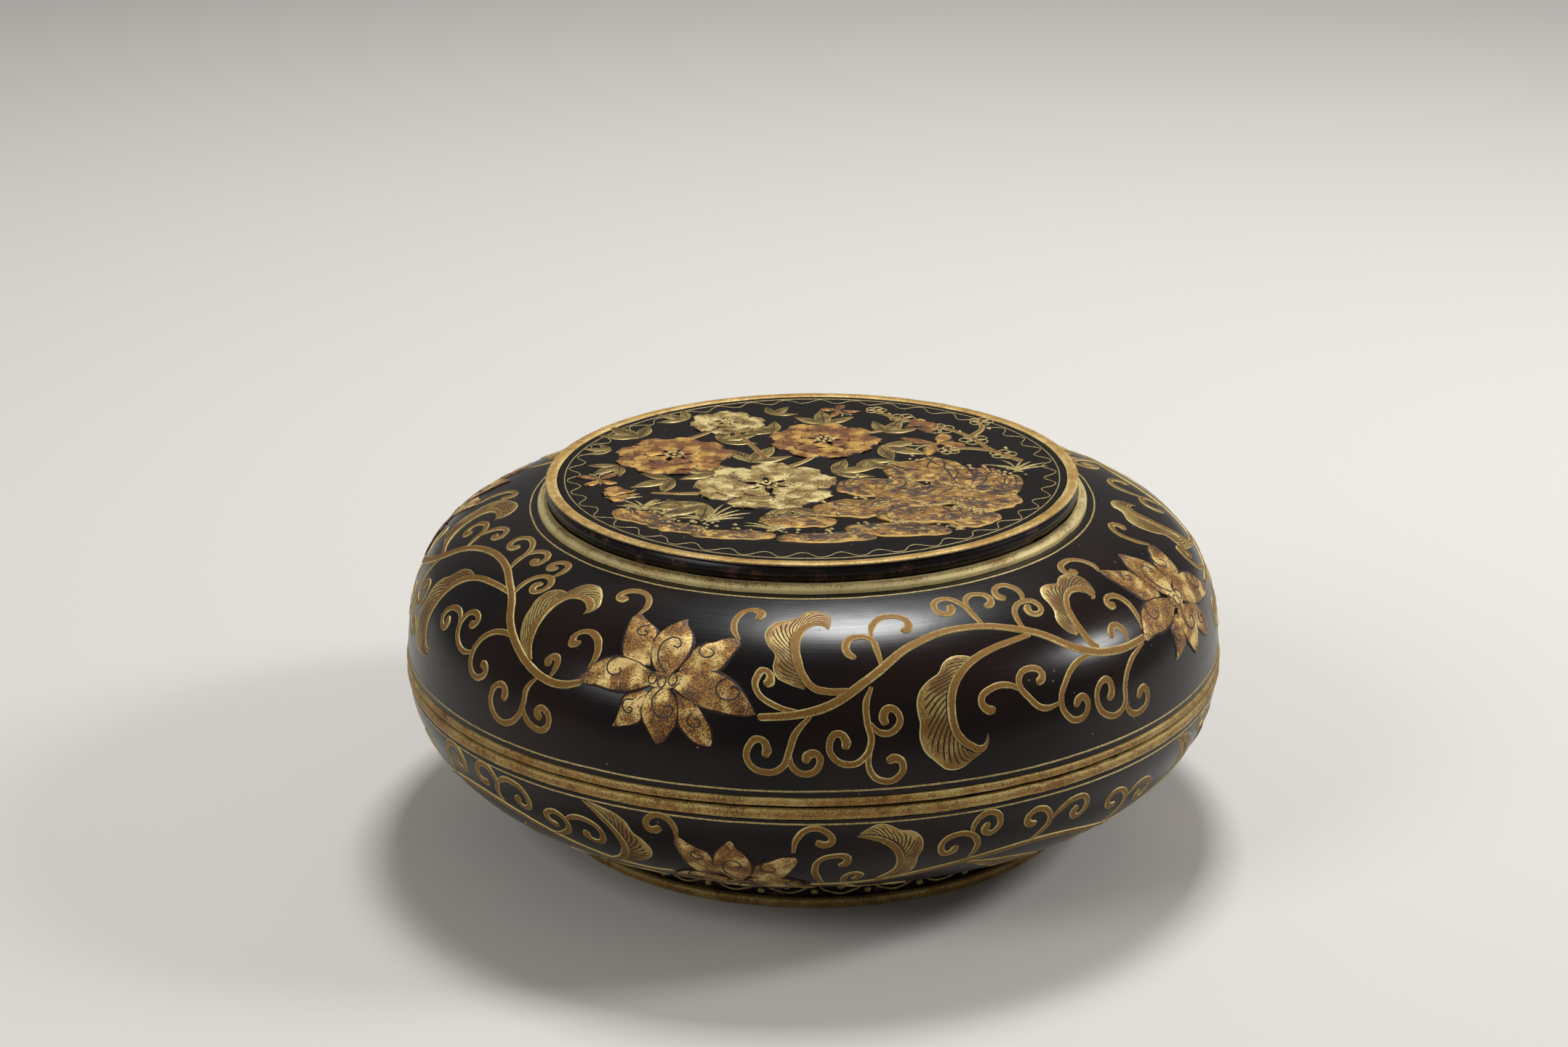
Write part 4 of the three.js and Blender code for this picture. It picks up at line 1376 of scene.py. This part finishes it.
peony(-13, -12, 20.5, 10, "pale_petals")
peony(-41, 16, 17.5, 40)
peony(4, 30, 16.5, 80)
peony(-26, 48, 11.5, 20, "pale_petals")
bud(-50, -17, 10, 190)
bud(28, 42, 10, 20)


# %% Leaves
leaf_width = 0.34


def leaf(x, y, turn, length):
    """A pointed leaf from its stalk to its tip."""
    half = [(0, 0), (0.16, 0.5), (0.36, 0.95), (0.55, 1), (0.75, 0.62), (0.9, 0.22), (1, 0)]
    bend = chance.uniform(-0.12, 0.12)
    edges = []
    for side in (-1, 1):
        points = [(a, side * b * leaf_width / 2 + bend * a * a) for a, b in half]
        edges.append(placed(x, y, turn, length, points))
    wanted["leaves"].append((*edges, 0))


def spray(x, y, turn, length):
    """Three leaves from one stalk."""
    for angle, share in ((-48, 0.8), (44, 0.85), (0, 1)):
        leaf(x, y, turn + angle, length * share)


for place in ((-30, -27, 225, 18), (-6, -30, 275, 15), (6, 0, 25, 16), (-18, 10, 70, 17),
              (-27, 1, 165, 16), (-57, 8, 230, 12), (-52, 34, 130, 16), (-28, 30, 35, 15),
              (-12, 38, 130, 15), (4, 46, 95, 15), (20, 24, 340, 17), (-40, -5, 205, 15),
              (-12, 56, 60, 10), (-38, 52, 150, 12), (22, 38, 60, 14), (-36, -30, 180, 12),
              (16, 12, 300, 12), (-60, 22, 170, 9)):
    spray(*place)

# %% Branches, grass and moss
for points in ([(4, -44), (-2, -36), (-8, -30), (-11, -20)], [(-20, 2), (-27, 6), (-32, 12)],
               [(-8, 4), (-2, 11), (3, 20)], [(-40, 30), (-34, 36), (-29, 42)],
               [(-14, 14), (-18, 26), (-22, 36), (-25, 44)], [(-30, -18), (-38, -18), (-46, -17)],
               [(12, 36), (20, 39), (27, 42)],
               [(62, 10), (54, 20), (48, 33), (38, 44), (26, 52), (20, 60)],
               [(48, 33), (52, 42), (50, 50)], [(54, 20), (46, 22), (40, 20)]):
    lines["twigs"].append(rounded(tapered(points, 1.1, 0.85, 0.5)))
for x, y, count, size in ((-30, -42, 9, 15), (-50, -32, 8, 12), (-12, -50, 8, 11), (59, 0, 7, 12),
                          (-56, -24, 7, 10), (40, -50, 6, 8), (-42, -40, 7, 12)):
    for i in range(count):
        turn = 90 + (i - (count - 1) / 2) * 17 + chance.uniform(-5, 5)
        tip = size * chance.uniform(0.7, 1.1)
        side = math.copysign(0.16, 90 - turn)
        bend = [(0, 0), (0.35, 0.02), (0.7, -0.3 * side), (1, -side)]
        lines["gold"].append(tapered(placed(x + i * 0.5, y, turn, tip, bend), 0.25, 0.42, 0.08))
moss_dots = 150
for i in range(moss_dots):
    stone = chance.choice(wanted["rocks"])
    x, y = stone[1][3 + i % 3 * 3]
    x += chance.gauss(0, 1.8)
    y += chance.gauss(0, 1.4)
    size = chance.uniform(0.4, 0.75)
    lines["gold"].append(dab(x, y, 0.6, (size, size / 3), (0, size)))

# %% Plum blossom on the far twig
def blossom(x, y, size, turn):
    """Five round petals, drawn as lines, and a red heart."""
    for i in range(5):
        angle = math.radians(turn + 72 * i)
        a, b = x + size * 0.55 * math.cos(angle), y + size * 0.55 * math.sin(angle)
        lines["gold"].append(ring(a, b, size * 0.42, size * 0.42, 0.24, 0.1))
    lines["berries"].append(dab(x, y, 0.2, (0.5, 0.3), (0, 0.7)))


for place in ((57, 16, 4.2, 10), (49, 30, 4.6, 40), (52, 48, 4, 0), (39, 41, 4.8, 20),
              (28, 52, 4.2, 55), (41, 20, 3.6, 30), (20, 60, 3.4, 0)):
    blossom(*place)
for x, y in ((45, 38), (33, 49), (54, 41), (58, 22), (24, 56)):
    lines["gold"].append(dab(x, y, 0.1, (0.7, 0.3), (0, 0.9)))

# %% Butterflies
def butterfly(x, y, size, turn):
    """Four wings, a body and two feelers."""
    for side in (-1, 1):
        def half(*points):
            return placed(x, y, turn, size, [(a, side * b) for a, b in points])

        wanted["petals"] += [
            (half((0.1, 0.05), (0.3, 0.62), (0.72, 1), (0.95, 1.02)),
             half((0.1, 0.05), (0.62, 0.2), (0.86, 0.52), (0.95, 1.02)), 0),
            (half((0, 0.05), (-0.1, 0.5), (-0.42, 0.82), (-0.62, 0.8)),
             half((0, 0.05), (-0.5, 0.1), (-0.78, 0.42), (-0.62, 0.8)), 0)]
        feeler = half((0.35, 0.04), (0.75, 0.1), (1.05, 0.34))
        lines["gold"].append(tapered(feeler, 0.2, 0.22, 0.35))
    body = placed(x, y, turn, size, [(0.38, 0), (0.1, 0), (-0.6, 0)])
    lines["twigs"].append(tapered(body, 0.4, 0.75, 0.2))


butterfly(38, 27, 9, 205)
butterfly(-62, -6, 6, 100)
butterfly(8, 60, 5.5, 300)

# %% Berries by the rock
root_x, root_y = 50, -8
for x, y in ((50, -2), (53, 1), (47.5, 1.5), (50.5, 4.5), (54.5, -4), (46, -2)):
    lines["berries"].append(dab(x, y, 0.1, (1, 0.5), (0.5, 0.95)))
    stalk = [(root_x, root_y), ((x + root_x) / 2 + 0.8, (y + root_y) / 2), (x, y)]
    lines["gold"].append(fine_stroke(stalk, 0.2))

# %% The circle and the wave round the picture
circle = ring(0, 0, 72.4, 72.4, 0.17, 0, 90)
wave = []
waves = 41
steps = 7
for i in range(waves * steps + 1):
    angle = math.tau * i / (waves * steps)
    radius = 71.6 - 1.8 * (1 - math.cos(math.tau * (i % steps) / steps))
    radius += chance.uniform(-0.2, 0.2) * (0 < i < waves * steps)
    wave.append((radius * math.cos(angle), radius * math.sin(angle), 0.15, 0))

# %% Lay the picture
pictures = (
    shapes("picture_rocks", wanted["rocks"], rock_gold, 0.45, 8, 22),
    shapes("picture_petals", wanted["petals"], peony_leaf, 0.35, 8, 16),
    shapes("picture_pale_petals", wanted["pale_petals"], pale_peony, 0.35, 8, 16),
    shapes("picture_leaves", wanted["leaves"], foliage_gold, 0.25, 8, 14),
    strokes("picture_branches", scroll_brush, lines["twigs"], brush_gold, 5),
    strokes("picture_lines", fine_brush, lines["gold"], pale_gold, 3),
    strokes("picture_cracks", fine_brush, lines["dark"], dark_line, 3),
    strokes("picture_berries", bead_brush, lines["berries"], berry_red, 3),
    strokes("picture_border", fine_brush, [circle, wave], pale_gold, 3),
)
for piece in pictures:
    for vertex in piece.data.vertices:
        vertex.co = (vertex.co + Vector((0, 0, board_face))) * mm
    fitted(piece, "lid")

# %% Put the brushes away
for profile in (scroll_brush, fine_brush, bead_brush):
    bpy.data.objects.remove(profile)
